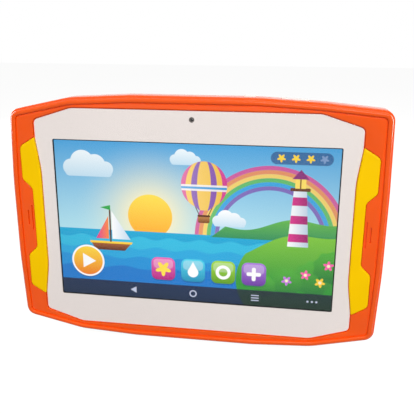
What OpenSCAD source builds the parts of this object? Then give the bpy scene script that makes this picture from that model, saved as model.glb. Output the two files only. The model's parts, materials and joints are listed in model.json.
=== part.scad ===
// A child's seven-inch toy tablet: a screen and its electronics in a two-part orange case
// with yellow side grips. It stands on its long lower edge. X runs to the right, Y to the
// back and Z up; the origin is on the ground under the middle of the case.

/* [Case] */
// Width across the two sides
body_w = 204.4; // [196:1:250]
// Height from the lower edge to the upper edge
body_h = 139.4; // [135:1:170]
// Depth from the crest of the rim to the back
body_d = 15; // [14:0.5:20]
// Half the straight stretch in the middle of the upper and lower edges
edge_flat = 34; // [33:1:36]
// Fall of the upper and lower edges from that stretch to the shoulders
edge_bow = 1.8; // [0.6:0.1:2]
// Distance from each side in to the shoulder
shoulder_run = 35.2; // [28:0.5:40]
// Fall from the upper edge down to the case's corner
shoulder_fall = 9.2; // [6:0.1:11]
// Fall down to the upper right corner, which is fuller than the others
right_fall = 5; // [3:0.1:11]
// Half the straight stretch in the middle of each side
side_flat = 22; // [10:1:30]
// How far each side leans in from that stretch to the corner
side_lean = 1.6; // [0.5:0.1:4]
// How far the right side leans in to its upper corner
right_lean = 0.9; // [0.5:0.1:4]
// Radius of the case's corners
corner_r = 6; // [5:0.5:10]
// Radius of the upper right corner
right_r = 6; // [5:0.5:10]
// Wall of the back cover
cover_wall = 1.8; // [1.5:0.1:2.2]
// Width of the rounded border of the back
back_round_w = 10; // [6:0.5:14]
// Depth of the rounded border of the back
back_round_d = 3.6; // [2.5:0.1:5]

/* [Front frame] */
// Height of the rim's crest over the face
rim_h = 0.9; // [0.5:0.1:1.2]
// Width of the raised rim
rim_w = 2.7; // [2:0.1:3]
// Step between the frame's edge and the back cover's edge
seam_step = 1; // [0.4:0.1:1.3]
// Depth from the crest to the seam
seam_depth = 2.2; // [1.8:0.1:2.6]
// Width of the groove inside the rim
groove_w = 0.5; // [0.3:0.1:0.8]
// Depth of the groove inside the rim
groove_d = 0.4; // [0.2:0.1:0.6]
// Thickness of the ledge that carries the touch panel
ledge_t = 1.5; // [1.2:0.1:2]
// Height of the tongue that locates the back cover
tongue_h = 1.4; // [1:0.1:2]

/* [Touch panel] */
// Width of the glass at its widest
panel_w = 174.8; // [173:0.2:177]
// Height of the glass
panel_h = 125.4; // [122:0.2:127]
// How far each long waist pulls in from the widest part
panel_waist = 2.4; // [1.5:0.1:2.5]
// Half the straight stretch of the waist
waist_flat = 28; // [20:1:32]
// Height at which the waist reaches the full width
waist_end = 45.5; // [40:0.5:48]
// Distance from the widest part in to the glass's shoulder
panel_run = 21.4; // [16:0.2:26]
// Fall from the glass's upper edge to its corner
panel_fall = 6.8; // [4:0.1:9]
// Thickness of the glass
glass_t = 0.9; // [0.7:0.1:1.1]
// Height of the glass over the face
glass_proud = 0.1; // [0:0.05:0.2]
// Gap between the glass and the plastic round it
panel_gap = 0.25; // [0.1:0.05:0.4]

/* [Screen] */
// Width of the lit picture
picture_w = 153.6; // [150:0.2:155]
// Height of the lit picture
picture_h = 90; // [86:0.2:91]
// Black margin that shows round the picture
picture_margin = 0.6; // [0.3:0.1:1]
// Width of the screen's metal tray
screen_w = 165; // [163:0.2:166]
// Height of the screen's metal tray
screen_h = 100; // [98:0.2:101]
// Thickness of the liquid crystal cell
cell_t = 1.2; // [1:0.1:1.4]
// Thickness of the backlight and its tray
light_t = 2.3; // [2:0.1:2.6]

/* [Grips] */
// Reach of the grip's two lobes from the middle of the case
grip_reach = 96.1; // [95:0.1:96.5]
// Reach of the grip's narrow middle from the middle of the case
grip_narrow = 90.7; // [89.5:0.1:91]
// Height of the grip over the face
grip_proud = 0.4; // [0.1:0.1:0.6]

/* [Keys] */
// Place of the power key along the upper edge
power_x = 29; // [28:0.5:29.5]
// Length of the power key
power_w = 6.6; // [5:0.2:7]
// Place of the volume rocker along the upper edge
volume_x = 52; // [51:0.5:53]
// Length of the volume rocker
volume_w = 14; // [12:0.2:14.4]
// Width of both keys, front to back
key_t = 2.6; // [2:0.1:3]
// Height of the keys over the edge
key_proud = 0.7; // [0.4:0.1:1]
// Clearance round each key in its opening
key_gap = 0.2; // [0.15:0.05:0.3]
// Travel of the power key
power_travel = 0.4; // [0.2:0.05:0.5]

/* [Sockets] */
// Height of the charging socket over the middle of the case
usb_z = 20.5; // [20:0.5:21]
// Height of the memory card slot over the middle of the case
card_z = 32; // [31.5:0.5:32.5]
// Height of the headphone socket over the middle of the case
jack_z = 44; // [43.5:0.5:45]
// Bore of the headphone socket
jack_bore_d = 3.6; // [3.5:0.05:3.7]
// Depth of the headphone socket's bore
jack_depth = 13.5; // [12:0.5:14]

/* [Inside] */
// Width of the battery
battery_w = 72; // [50:1:74]
// Height of the battery
battery_h = 90; // [60:1:96]
// Thickness of the battery
battery_t = 3.5; // [2.5:0.1:4.5]
// Thickness of the circuit board
board_t = 1; // [0.8:0.1:1.2]
// Diameter of the case screws' thread
screw_d = 2; // [1.6:0.1:2.4]

/* [Hidden] */

eps = 0.01;          // overlap of a cut past the face that it opens
root = 0.3;          // how far a boss runs into the wall that it stands on
arc_step = 10;       // degrees between the points of an arc
$fn = 48;

orange = "#ff5216";
pale = "#eee3de";
yellow = "#fccd01";
steel = "#c4c7cb";
black_plastic = "#1c1d20";
foam_black = "#26272a";
ribbon_gold = "#c98a35";

// Depths, from the crest of the rim to the back
film_t = 0.2;
tape_t = 0.3;
gasket_t = 0.5;
crest_y = -body_d / 2;
back_y = body_d / 2;
face_y = crest_y + rim_h;
seam_y = crest_y + seam_depth;
glass_y = face_y - glass_proud;
film_y = glass_y + glass_t;
film_back_y = film_y + film_t;
ledge_y = film_back_y + tape_t;
plate_y = ledge_y + ledge_t;
cell_y = film_back_y + gasket_t;
light_y = cell_y + cell_t;
tray_y = light_y + light_t;
back_in_y = back_y - cover_wall;
battery_tape_t = 0.2;
battery_y = tray_y + battery_tape_t;
board_gap = 0.8;     // room for solder between the screen's tray and the board
board_y = tray_y + board_gap;
board_back_y = board_y + board_t;

// The case's outline
corner_x = body_w / 2 - side_lean;
corner_z = body_h / 2 - shoulder_fall;
right_x = body_w / 2 - right_lean;
right_z = body_h / 2 - right_fall;
shoulder_x = body_w / 2 - shoulder_run;
side_r = 300;
shoulder_r = 40;
bow_r = 60;
lip_round = 0.4;     // rounding of the back cover's front edge
round_steps = 4;
inner_round_w = back_round_w - cover_wall / 2;
inner_round_d = back_round_d - cover_wall / 2;
fit_gap = 0.15;      // clearance between the frame and the back cover
tongue_t = 1.2;
rim_round_out = 1.2; // width of the rim's rounding towards the edge
rim_round_deep = 1.6;
rim_round_in = 1;    // width of the rim's rounding towards the face

// The touch panel's outline
panel_corner_z = panel_h / 2 - panel_fall;
panel_corner_r = 3;
panel_shoulder_r = 12;
waist_r = 60;
waist_end_r = 25;
film_inset = 0.3;    // from the glass's edge in to the printed film and to the tape
tape_inset = 0.4;
gasket_over = 1;     // from the picture's edge out to the gasket's opening
cell_inset = 1.5;    // from the tray's edge in to the cell, at the sides and at the top
cell_inset_top = 1.3;
window_gap = 0.7;    // room round the screen's tray in the frame

// The grips
grip_tip_z = 46.5;
grip_lobe_top = 41;
grip_lobe_low = 22.5;
grip_narrow_z = 17.3;
grip_r = 3.6;
grip_tuck = 3.5;     // how far the pocket's outline runs in under the glass
grip_fit = 0.1;
grip_edge = 0.4;

// The speakers and their slits
slit_w = 0.8;
slit_inner = 1.2;    // from the grip's narrow middle to the middle of the near slit
slit_pitch = 2.3;
slit_z = 0.3;
slit_long = 14.5;
slit_short = 8.5;
chamber_t = 1.6;     // plastic left in front of the sound chamber
speaker_w = 10;
speaker_h = 19;
speaker_t = 3.2;
speaker_gasket_t = 0.4;
fence_t = 0.8;
fence_h = 2;
speaker_fit = 0.15;
speaker_rim = 1.2;   // frame round the speaker's cone
speaker_gasket_w = 1;
cone_deep = 0.6;
speaker_x = grip_narrow + 2.1;
speaker_y = plate_y + speaker_gasket_t;

// The cameras
camera_x = -0.5;
camera_z = panel_h / 2 - 4.9;
camera_hole_d = 3.2;
camera_side = 6;
camera_fit = 0.2;
camera_barrel_d = 4.6;
camera_barrel_t = 1.2;
camera_t = 3.6;
camera_pupil_d = 1.8;
rear_z = 37;
rear_side = 7;
rear_camera_t = 2.6;
rear_barrel_d = 5;
rear_barrel_out = 0.4;   // how far the barrel runs into the wall's hole
rear_pupil_d = 2;
rear_ring_d = 9;
rear_hole_d = 6.4;
ring_t = 0.8;
ring_fit = 0.1;
lens_sunk = 0.2;     // the window's outer face under the back

// The board
board_left = 2;
board_bottom = 10;
board_top = screen_h / 2 - 0.4;
board_right = side_x(jack_z) - cover_wall - 1.7;
rear_x = board_right - 18;
tab_left = 20;
tab_right = 66;
tab_top = body_h / 2 - cover_wall - 5.1;
board_screw_d = 1.8;
board_boss_d = 5;
board_head_d = 3.6;
board_head_t = 1.1;
board_screws_at = [
    [board_right - 3.5, board_bottom + 3],
    [tab_right - 3, tab_top - 4.5],
    [tab_left + 3, tab_top - 4.5]
];

// The screws that close the case
cover_screws_at = [
    for (sx = [-1, 1], sz = [-1, 1]) [sx * (corner_x - 11.1), sz * (corner_z - 4)],
    for (sx = [-1, 1]) [sx * 42, -(body_h / 2 - 10.9)]
];
screw_fit = 0.1;     // between a screw and its pilot hole
screw_clear = 0.4;   // between a screw and a hole that it passes through
screw_tip_room = 0.2;
cross_w = 0.5;       // width and depth of the cross in a screw's head
cross_deep = 0.6;
boss_d = 6.6;
head_d = 4.2;
head_t = 1.4;
head_sunk = 2.1;     // depth of the head's outer face under the back
seat_y = back_y - head_sunk - head_t;
boss_split_y = plate_y + 4.6;
screw_tip_y = plate_y + 0.8;
board_tip_y = plate_y - 0.4;

// The keys and their switches
switch_w = 4;
switch_h = 3.8;
switch_t = 1.8;
key_y = board_back_y + switch_t / 2;
plunger_d = 1.2;
plunger_gap = 0.2;
foot_d = 2;
flange_t = 1;
flange_over = 1.2;   // how far the flange reaches past each end of the key
flange_side = 0.2;   // how far it reaches past the key at the front and the back
power_flange_gap = 0.1;
volume_flange_gap = 0.3;
foot_drop = 0.9;
plunger_out = power_travel + 0.4;   // length of the plunger between the foot and the switch
plunger_in = 0.6;    // length of the plunger inside the switch at rest
plunger_well = plunger_in + power_travel + 0.6;
volume_spread = 4.5; // from the middle of the rocker to each plunger
mic_x = (power_x + volume_x) / 2 - 1.5;
mic_hole_d = 1.2;
edge_lean = atan2(edge_bow, shoulder_x - edge_flat);

// The sockets
socket_gap = 0.2;    // between a socket's face and the inside of the wall
usb_w = 7.5;
usb_t = 2.5;
usb_len = 5.6;
usb_wall = 0.3;
card_w = 14;
card_t = 1.6;
card_len = 14.5;
card_slot_w = 11.4;
card_slot_t = 0.9;
jack_w = 6;
jack_t = 4.4;
jack_y = board_y + jack_t / 2 - 0.6;    // sunk in the board's notch
jack_end = 1;        // plastic behind the bore
jack_opening_d = 5.6;
jack_notch = 0.2;    // clearance round the headphone socket in the board
opening_fit = 0.4;

// The curve of the back cover's inside, as [inset, y] from the back to the side wall
cover_inside = [
    for (k = [round_steps:-1:0]) let (a = 90 * k / round_steps)
        [cover_wall + inner_round_w * (1 - cos(a)), back_in_y - inner_round_d * (1 - sin(a))]
];

// The battery stands to the left of the board
battery_right = board_left - 10;
battery_mid_x = battery_right - battery_w / 2;

// ---- shapes that the parts share ----

// The right side's x above the middle, and the upper edge's z, at a place along them
function side_x(z) = body_w / 2 - right_lean * max(0, z - side_flat) / (right_z - side_flat);
function top_z(x) = body_h / 2 - edge_bow * max(0, abs(x) - edge_flat) / (shoulder_x - edge_flat);

// How far in from the outline the back cover's inside stands at a depth y
function cover_in(y) = lookup(y, [for (p = cover_inside) [p[1], p[0]]]);

function unit(v) = v / norm(v);
function left_of(v) = [-v[1], v[0]];
function turn(a, b) = atan2(a[0] * b[1] - a[1] * b[0], a * b);
function spun(v, t) = [v[0] * cos(t) - v[1] * sin(t), v[0] * sin(t) + v[1] * cos(t)];

// The points of a corner at v, rounded with radius r, between directions a and b
function corner_arc(v, a, b, r) =
    let (t = turn(a, b),
         start = v - a * r * tan(abs(t) / 2),
         centre = start + left_of(a) * r * sign(t),
         steps = ceil(abs(t) / arc_step))
    [for (k = [0:steps]) centre + spun(start - centre, t * k / steps)];

// A closed outline through corners [x, z, radius], moved inwards by inset
function ring(corners, inset = 0) =
    let (n = len(corners))
    [for (i = [0:n - 1])
        let (v = corners[i], before = corners[(i + n - 1) % n], after = corners[(i + 1) % n],
             a = unit([v[0] - before[0], v[1] - before[1]]),
             b = unit([after[0] - v[0], after[1] - v[1]]),
             p = [v[0], v[1]] + inset * (left_of(a) + left_of(b)) / (1 + a * b),
             r = max(v[2] - inset * sign(turn(a, b)), 0.2))
        each corner_arc(p, a, b, r)];

// A quarter's corners, mirrored into all four quarters
function four_quarters(q) = concat(
    q,
    [for (i = [len(q) - 1:-1:0]) [-q[i][0], q[i][1], q[i][2]]],
    [for (p = q) [-p[0], -p[1], p[2]]],
    [for (i = [len(q) - 1:-1:0]) [q[i][0], -q[i][1], q[i][2]]]
);

// A quarter of the case's outline, with its corner at x and z and rounded with radius r
function body_quarter(x, z, r) = [
    [body_w / 2, side_flat, side_r],
    [x, z, r],
    [shoulder_x, body_h / 2 - edge_bow, shoulder_r],
    [edge_flat, body_h / 2, bow_r]
];
body_quarters = four_quarters(body_quarter(corner_x, corner_z, corner_r));
body_corners = concat(
    body_quarter(right_x, right_z, right_r),
    [for (i = [4:len(body_quarters) - 1]) body_quarters[i]]
);

panel_corners = four_quarters([
    [panel_w / 2 - panel_waist, waist_flat, waist_r],
    [panel_w / 2, waist_end, waist_end_r],
    [panel_w / 2, panel_corner_z, panel_corner_r],
    [panel_w / 2 - panel_run, panel_h / 2, panel_shoulder_r]
]);

grip_tip_slope = (grip_tip_z - grip_lobe_top) / (grip_reach - panel_w / 2);
grip_corners = let (x = panel_w / 2 - grip_tuck, z = grip_tip_z + grip_tuck * grip_tip_slope) [
    [x, -z, 0.5],
    [grip_reach, -grip_lobe_top, grip_r],
    [grip_reach, -grip_lobe_low, grip_r],
    [grip_narrow, -grip_narrow_z, grip_r],
    [grip_narrow, grip_narrow_z, grip_r],
    [grip_reach, grip_lobe_low, grip_r],
    [grip_reach, grip_lobe_top, grip_r],
    [x, z, 0.5]
];

// Lifts what is drawn about the middle of the screen to its height over the ground
module on_face() {
    translate([0, 0, body_h / 2]) children();
}

// Gives a flat shape in X and Z its depth, from y0 back to y1
module slab(y0, y1) {
    translate([0, y1, 0]) rotate([90, 0, 0]) linear_extrude(y1 - y0) children();
}

// A block in X and Z round its middle, from y0 back to y1
module block(x, z, w, h, y0, y1) {
    slab(y0, y1) translate([x, z]) square([w, h], center = true);
}

// A round peg or hole along Y
module peg(x, z, d, y0, y1) {
    translate([x, y0, z]) rotate([-90, 0, 0]) cylinder(h = y1 - y0, d = d);
}

// The case's outline, moved inwards by inset
module body_shape(inset = 0) {
    polygon(ring(body_corners, inset));
}

module panel_shape(inset = 0) {
    polygon(ring(panel_corners, inset));
}

// A solid through steps of [inset, y], from its front-facing end to its back-facing end.
// Each step is the case's outline moved inwards, so the faces between two steps are flat.
module lofted(steps) {
    rings = [for (s = steps) ring(body_corners, s[0])];
    n = len(rings[0]);
    last = len(steps) - 1;
    points = [for (i = [0:last], p = rings[i]) [p[0], steps[i][1], p[1]]];
    walls = [
        for (i = [0:last - 1], k = [0:n - 1])
            let (a = i * n + k, b = i * n + (k + 1) % n) [a, b, b + n, a + n]
    ];
    polyhedron(points, concat(walls, [[for (k = [n - 1:-1:0]) k]], [[for (k = [0:n - 1]) last * n + k]]));
}

// The grip's flat shape on the right side, moved inwards by inset
module grip_shape(inset = 0) {
    difference() {
        polygon(ring(grip_corners, inset));
        panel_shape(-panel_gap - inset);
    }
}

// A length of round wire of diameter d through the points of a route
module wire(route, d) {
    sides = 8;
    n = len(route);
    points = [
        for (i = [0:n - 1])
            let (t = unit(route[min(i + 1, n - 1)] - route[max(i - 1, 0)]),
                 u = unit(cross(t, abs(t[1]) > 0.9 ? [1, 0, 0] : [0, 1, 0])),
                 v = cross(t, u))
            for (k = [0:sides - 1])
                route[i] + d / 2 * (u * cos(360 * k / sides) + v * sin(360 * k / sides))
    ];
    walls = [
        for (i = [0:n - 2], k = [0:sides - 1])
            let (a = i * sides + k, b = i * sides + (k + 1) % sides)
            for (f = [[a, b, b + sides], [a, b + sides, a + sides]]) f
    ];
    first = [[for (k = [sides - 1:-1:0]) k]];
    last = [[for (k = [0:sides - 1]) (n - 1) * sides + k]];
    polyhedron(points, concat(walls, first, last));
}

// A smooth curve through a few points, with some steps between each pair
function smooth(p, steps = 4) = [
    for (i = [0:len(p) - 2])
        let (a = p[max(i - 1, 0)], b = p[i], c = p[i + 1], d = p[min(i + 2, len(p) - 1)])
        for (k = [0:steps - (i == len(p) - 2 ? 0 : 1)])
            let (t = k / steps)
            (2 * b + (c - a) * t + (2 * a - 5 * b + 4 * c - d) * t * t
             + (3 * b - a - 3 * c + d) * t * t * t) / 2
];

// ---- the case ----

module front_frame() {
    inner = cover_wall + fit_gap;
    rim_in = seam_step + rim_w;
    window_w = screen_w + 2 * window_gap;
    window_h = screen_h + 2 * window_gap;
    groove = [
        [rim_in + groove_w, face_y], [rim_in + groove_w, face_y + groove_d], [rim_in, face_y + groove_d]
    ];
    bead_in = [for (a = [0, 30, 60, 90])
        [rim_in - rim_round_in * (1 - cos(a)), face_y - rim_h * sin(a)]];
    bead_out = [for (a = [90, 60, 30, 0])
        [seam_step + rim_round_out * (1 - cos(a)), crest_y + rim_round_deep * (1 - sin(a))]];
    seam = [[seam_step, seam_y], [inner, seam_y]];
    tongue = [
        [inner, plate_y + tongue_h], [inner + tongue_t, plate_y + tongue_h], [inner + tongue_t, plate_y]
    ];
    color(orange) on_face() difference() {
        union() {
            lofted(concat(groove, bead_in, bead_out, seam, tongue));
            for (p = cover_screws_at) peg(p[0], p[1], boss_d, plate_y - eps, boss_split_y);
            for (p = board_screws_at) peg(p[0], p[1], board_boss_d, plate_y - eps, board_y);
            for (side = [-1, 1])
                block(side * speaker_x, 0, speaker_w + 2 * (speaker_fit + fence_t),
                      speaker_h + 2 * (speaker_fit + fence_t), plate_y - eps, plate_y + fence_h);
        }
        slab(face_y - eps, ledge_y) panel_shape(-panel_gap);
        block(0, 0, window_w, window_h, face_y, plate_y + eps);
        for (side = [0, 1]) mirror([side, 0, 0]) {
            slab(face_y - eps, ledge_y) polygon(ring(grip_corners, -grip_fit));
            for (slit = [[0, slit_long], [1, slit_short]])
                block(grip_narrow + slit_inner + slit[0] * slit_pitch, slit_z, slit_w, slit[1],
                      face_y - eps, face_y + chamber_t + eps);
            block(grip_narrow + slit_inner + slit_pitch / 2, slit_z, slit_pitch + slit_w, slit_long,
                  face_y + chamber_t, plate_y + eps);
            block(speaker_x, 0, speaker_w + 2 * speaker_fit, speaker_h + 2 * speaker_fit,
                  plate_y, plate_y + fence_h + eps);
        }
        block(camera_x, camera_z, camera_side + 2 * camera_fit, camera_side + 2 * camera_fit,
              ledge_y - eps, plate_y + eps);
        for (p = cover_screws_at)
            peg(p[0], p[1], screw_d + screw_fit, screw_tip_y - screw_tip_room, boss_split_y + eps);
        for (p = board_screws_at)
            peg(p[0], p[1], board_screw_d + screw_fit, board_tip_y - screw_tip_room, board_y + eps);
    }
}

module back_cover() {
    outside = [for (k = [0:round_steps]) let (a = 90 * k / round_steps)
        [back_round_w * (1 - cos(a)), back_y - back_round_d * (1 - sin(a))]];
    lip = [[cover_wall, seam_y], [lip_round, seam_y], [0, seam_y + lip_round]];
    color(orange) on_face() difference() {
        union() {
            lofted(concat(cover_inside, lip, outside));
            for (p = cover_screws_at)
                peg(p[0], p[1], boss_d, boss_split_y + fit_gap, back_in_y + root);
            peg(rear_x, rear_z, rear_ring_d + 2, back_y - ring_t - cover_wall, back_in_y + root);
        }
        for (p = cover_screws_at) {
            peg(p[0], p[1], screw_d + screw_clear, boss_split_y, back_y + eps);
            peg(p[0], p[1], head_d + screw_clear, seat_y, back_y + eps);
        }
        // the rear camera's window and its ring
        peg(rear_x, rear_z, rear_hole_d, back_in_y - cover_wall, back_y + eps);
        peg(rear_x, rear_z, rear_ring_d, back_y - ring_t, back_y + eps);
        // the keys' openings
        key_opening(power_x, power_w);
        key_opening(volume_x, volume_w);
        // the microphone's pinhole
        translate([mic_x, key_y, top_z(mic_x) - cover_wall - 1])
            cylinder(h = cover_wall + 2, d = mic_hole_d);
        // the sockets' openings
        wall_opening(usb_z, board_back_y + usb_t / 2, usb_w + 2 * opening_fit, usb_t + 2 * opening_fit);
        wall_opening(card_z, board_back_y + card_t / 2, card_slot_w + 2 * opening_fit,
                     card_slot_t + 2 * opening_fit);
        translate([side_x(jack_z) - cover_wall - 1, jack_y, jack_z]) rotate([0, 90, 0])
            cylinder(h = cover_wall + 2, d = jack_opening_d);
    }
}

// The opening for a key in the upper wall
module key_opening(x, w) {
    key_place(x) translate([0, 0, -cover_wall])
        cube([w + 2 * key_gap, key_t + 2 * key_gap, 4 * cover_wall], center = true);
}

// An opening through the right wall, for a socket at height z
module wall_opening(z, y, w, t) {
    translate([side_x(z) - cover_wall / 2, y, z]) cube([cover_wall + 2, t, w], center = true);
}

// A cross-head screw at p, from its tip to its seat, with the head behind that
module cross_screw(p, d, head, tip_y, y) {
    difference() {
        union() {
            peg(p[0], p[1], d, tip_y, y + eps);
            peg(p[0], p[1], head[0], y, y + head[1]);
        }
        for (size = [[0.62 * head[0], cross_w], [cross_w, 0.62 * head[0]]])
            block(p[0], p[1], size[0], size[1], y + head[1] - cross_deep, y + head[1] + eps);
    }
}

module cover_screws() {
    color(steel) on_face() for (p = cover_screws_at)
        cross_screw(p, screw_d, [head_d, head_t], screw_tip_y, seat_y);
}

// A grip: a block with its front edge stepped in
module grip() {
    front = face_y - grip_proud;
    slab(front + grip_edge, ledge_y) grip_shape();
    slab(front, front + grip_edge + eps) grip_shape(grip_edge);
}

module grip_left() {
    color(yellow) on_face() mirror([1, 0, 0]) grip();
}

module grip_right() {
    color(yellow) on_face() grip();
}

// ---- the screen ----

module touch_panel() {
    color("#e8f2f4", 0.35) on_face() slab(glass_y, film_y) panel_shape();
}

module border_film() {
    color("#ece8e4") on_face() difference() {
        slab(film_y, film_back_y) panel_shape(film_inset);
        block(0, 0, picture_w + 2 * picture_margin, picture_h + 2 * picture_margin,
              film_y - eps, film_back_y + eps);
        peg(camera_x, camera_z, camera_hole_d, film_y - eps, film_back_y + eps);
    }
}

module panel_tape() {
    color(foam_black) on_face() difference() {
        slab(film_back_y, ledge_y) panel_shape(tape_inset);
        block(0, 0, screen_w + 2 * window_gap, screen_h + 2 * window_gap,
              film_back_y - eps, ledge_y + eps);
        block(camera_x, camera_z, camera_side + 2 * camera_fit, camera_side + 2 * camera_fit,
              film_back_y - eps, ledge_y + eps);
    }
}

module screen_gasket() {
    color(foam_black) on_face() difference() {
        block(0, 0, screen_w - 3 * gasket_over, screen_h - 3 * gasket_over, film_back_y, cell_y);
        block(0, 0, picture_w + 2 * gasket_over, picture_h + 2 * gasket_over,
              film_back_y - eps, cell_y + eps);
    }
}

module screen_cell() {
    color("#20242c") on_face()
        block(0, 0, screen_w - 2 * cell_inset, screen_h - 2 * cell_inset_top, cell_y, light_y);
}

module screen_backlight() {
    color(steel) on_face() block(0, 0, screen_w, screen_h, light_y, tray_y);
}

// ---- the board and what it carries ----

module main_board() {
    jack_x0 = socket_face(jack_z, jack_w, jack_y + jack_t / 2) - jack_depth - jack_end - jack_notch;
    color("#1d7a45") on_face() difference() {
        slab(board_y, board_back_y) union() {
            translate([board_left, board_bottom])
                square([board_right - board_left, board_top - board_bottom]);
            translate([tab_left, board_bottom]) square([tab_right - tab_left, tab_top - board_bottom]);
        }
        block((jack_x0 + board_right + 1) / 2, jack_z, board_right + 1 - jack_x0, jack_w + 2 * jack_notch,
              board_y - eps, board_back_y + eps);
        for (p = board_screws_at)
            peg(p[0], p[1], board_screw_d + screw_clear, board_y - eps, board_back_y + eps);
    }
}

module board_screws() {
    color(steel) on_face() for (p = board_screws_at)
        cross_screw(p, board_screw_d, [board_head_d, board_head_t], board_tip_y, board_back_y);
}

// A chip on the board, placed from its left lower corner
module chip(x, z, w, h, t) {
    block(board_left + x, board_bottom + z, w, h, board_back_y, board_back_y + t);
}

module processor() {
    color(black_plastic) on_face() chip(46, 20, 14, 14, 1.2);
}

module memory_chips() {
    color(black_plastic) on_face() for (z = [14, 26]) chip(28, z, 12, 8, 1);
}

module power_chip() {
    color(black_plastic) on_face() chip(64, 10, 7, 7, 0.9);
}

module radio_module() {
    color(steel) on_face() chip(13, 9, 12, 12, 1.6);
}

// ---- ribbons ----

screen_ribbon_x = 74;
touch_ribbon_x = 11;
ribbon_t = 0.2;
ribbon_z = screen_h / 2 + window_gap / 2;   // where the ribbons pass the screen's tray
ribbon_end_z = board_top - 4;
ribbon_bond = 1.4;   // length of a ribbon's end on what it is bonded to
connector_t = 1.2;

// A ribbon in the Y-Z plane: out at y0 from z0, over the tray's edge and down onto the board
module edge_ribbon(x, w, y0, z0) {
    y1 = board_back_y + 0.5;
    t = ribbon_t;
    translate([x - w / 2, 0, 0]) rotate([90, 0, 90]) linear_extrude(w) polygon([
        [y0, z0], [y0, ribbon_z + t / 2], [y1 + t, ribbon_z + t / 2], [y1 + t, ribbon_end_z],
        [y1, ribbon_end_z], [y1, ribbon_z - t / 2], [y0 + t, ribbon_z - t / 2], [y0 + t, z0]
    ]);
}

module screen_ribbon() {
    color(ribbon_gold) on_face()
        edge_ribbon(screen_ribbon_x, 12, cell_y + cell_t / 2, screen_h / 2 - cell_inset_top);
}

module touch_ribbon() {
    color(ribbon_gold) on_face()
        edge_ribbon(touch_ribbon_x, 9, film_back_y, screen_h / 2 - ribbon_bond);
}

// The front camera's ribbon, in the X-Y plane, round the left edge of the board's tab
module camera_ribbon() {
    y0 = plate_y + 1.2;
    y1 = board_back_y + 0.3;
    x0 = camera_x + camera_side / 2;
    t = ribbon_t;
    turn_x = tab_left - 1.2;
    color(ribbon_gold) on_face() translate([0, 0, camera_z - 2]) linear_extrude(4) polygon([
        [x0, y0], [turn_x + t, y0], [turn_x + t, y1], [tab_left + 1, y1],
        [tab_left + 1, y1 + t], [turn_x, y1 + t], [turn_x, y0 + t], [x0, y0 + t]
    ]);
}

module ribbon_sockets() {
    color("#e6e0cf") on_face() for (r = [[screen_ribbon_x, 15], [touch_ribbon_x, 11]]) difference() {
        block(r[0], ribbon_end_z - 0.5, r[1], 3.4, board_back_y, board_back_y + connector_t);
        block(r[0], ribbon_end_z + 1, r[1] - 2, 2.4,
              board_back_y + connector_t / 3, board_back_y + 2 * connector_t / 3);
    }
}

// ---- power and sound ----

module battery() {
    color("#b9bec4") on_face()
        block(battery_mid_x, 0, battery_w, battery_h, battery_y, battery_y + battery_t);
}

module battery_tape() {
    color(foam_black) on_face() for (s = [-1, 1])
        block(battery_mid_x, s * battery_h / 3, battery_w - 10, battery_h / 5, tray_y, battery_y);
}

battery_socket_z = board_bottom + 24;

module battery_socket() {
    color("#f1efe6") on_face()
        block(board_left + 4, battery_socket_z, 6, 7, board_back_y, board_back_y + 3);
}

module battery_leads() {
    x0 = battery_right;
    x1 = board_left + 1;
    y0 = battery_y + battery_t / 2;
    y1 = board_back_y + 1.8;
    color("#c3201c") on_face() for (s = [-1, 1]) {
        z = battery_socket_z + 1.2 * s;
        wire(smooth([
            [x0, y0, z + 6], [x0 + 2.5, y0, z + 5.8], [x0 + 5, (y0 + y1) / 2, z + 3],
            [x1 - 2.5, y1, z + 0.3], [x1, y1, z]
        ]), 1);
    }
}

// A speaker and its foam ring, on the right side
module speaker() {
    difference() {
        block(speaker_x, 0, speaker_w, speaker_h, speaker_y, speaker_y + speaker_t);
        block(speaker_x, 0, speaker_w - 2 * speaker_rim, speaker_h - 2 * speaker_rim,
              speaker_y - eps, speaker_y + cone_deep);
    }
}

module speaker_gasket() {
    difference() {
        block(speaker_x, 0, speaker_w, speaker_h, plate_y, speaker_y);
        block(speaker_x, 0, speaker_w - 2 * speaker_gasket_w, speaker_h - 2 * speaker_gasket_w,
              plate_y - eps, speaker_y + eps);
    }
}

module speaker_left() {
    color(black_plastic) on_face() mirror([1, 0, 0]) speaker();
}

module speaker_right() {
    color(black_plastic) on_face() speaker();
}

module speaker_gasket_left() {
    color(foam_black) on_face() mirror([1, 0, 0]) speaker_gasket();
}

module speaker_gasket_right() {
    color(foam_black) on_face() speaker_gasket();
}

lead_d = 0.9;
speaker_back_y = speaker_y + speaker_t;

// The leads leave the back of their speaker just clear of it
lead_out_y = speaker_back_y + lead_d / 2 + 0.05;
lead_on_board_y = board_back_y + lead_d / 2;

module speaker_leads_right() {
    color(black_plastic) on_face() for (s = [-1, 1]) {
        x = speaker_x - 3 + 0.8 * s;
        wire(smooth([
            [x, lead_out_y, 4], [x, lead_out_y + 0.1, 6.5], [x - 0.5, board_back_y + 1, board_bottom - 0.6],
            [x - 1, lead_on_board_y + 0.1, board_bottom + 1.5], [x - 1, lead_on_board_y, board_bottom + 3]
        ]), lead_d);
    }
}

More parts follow.
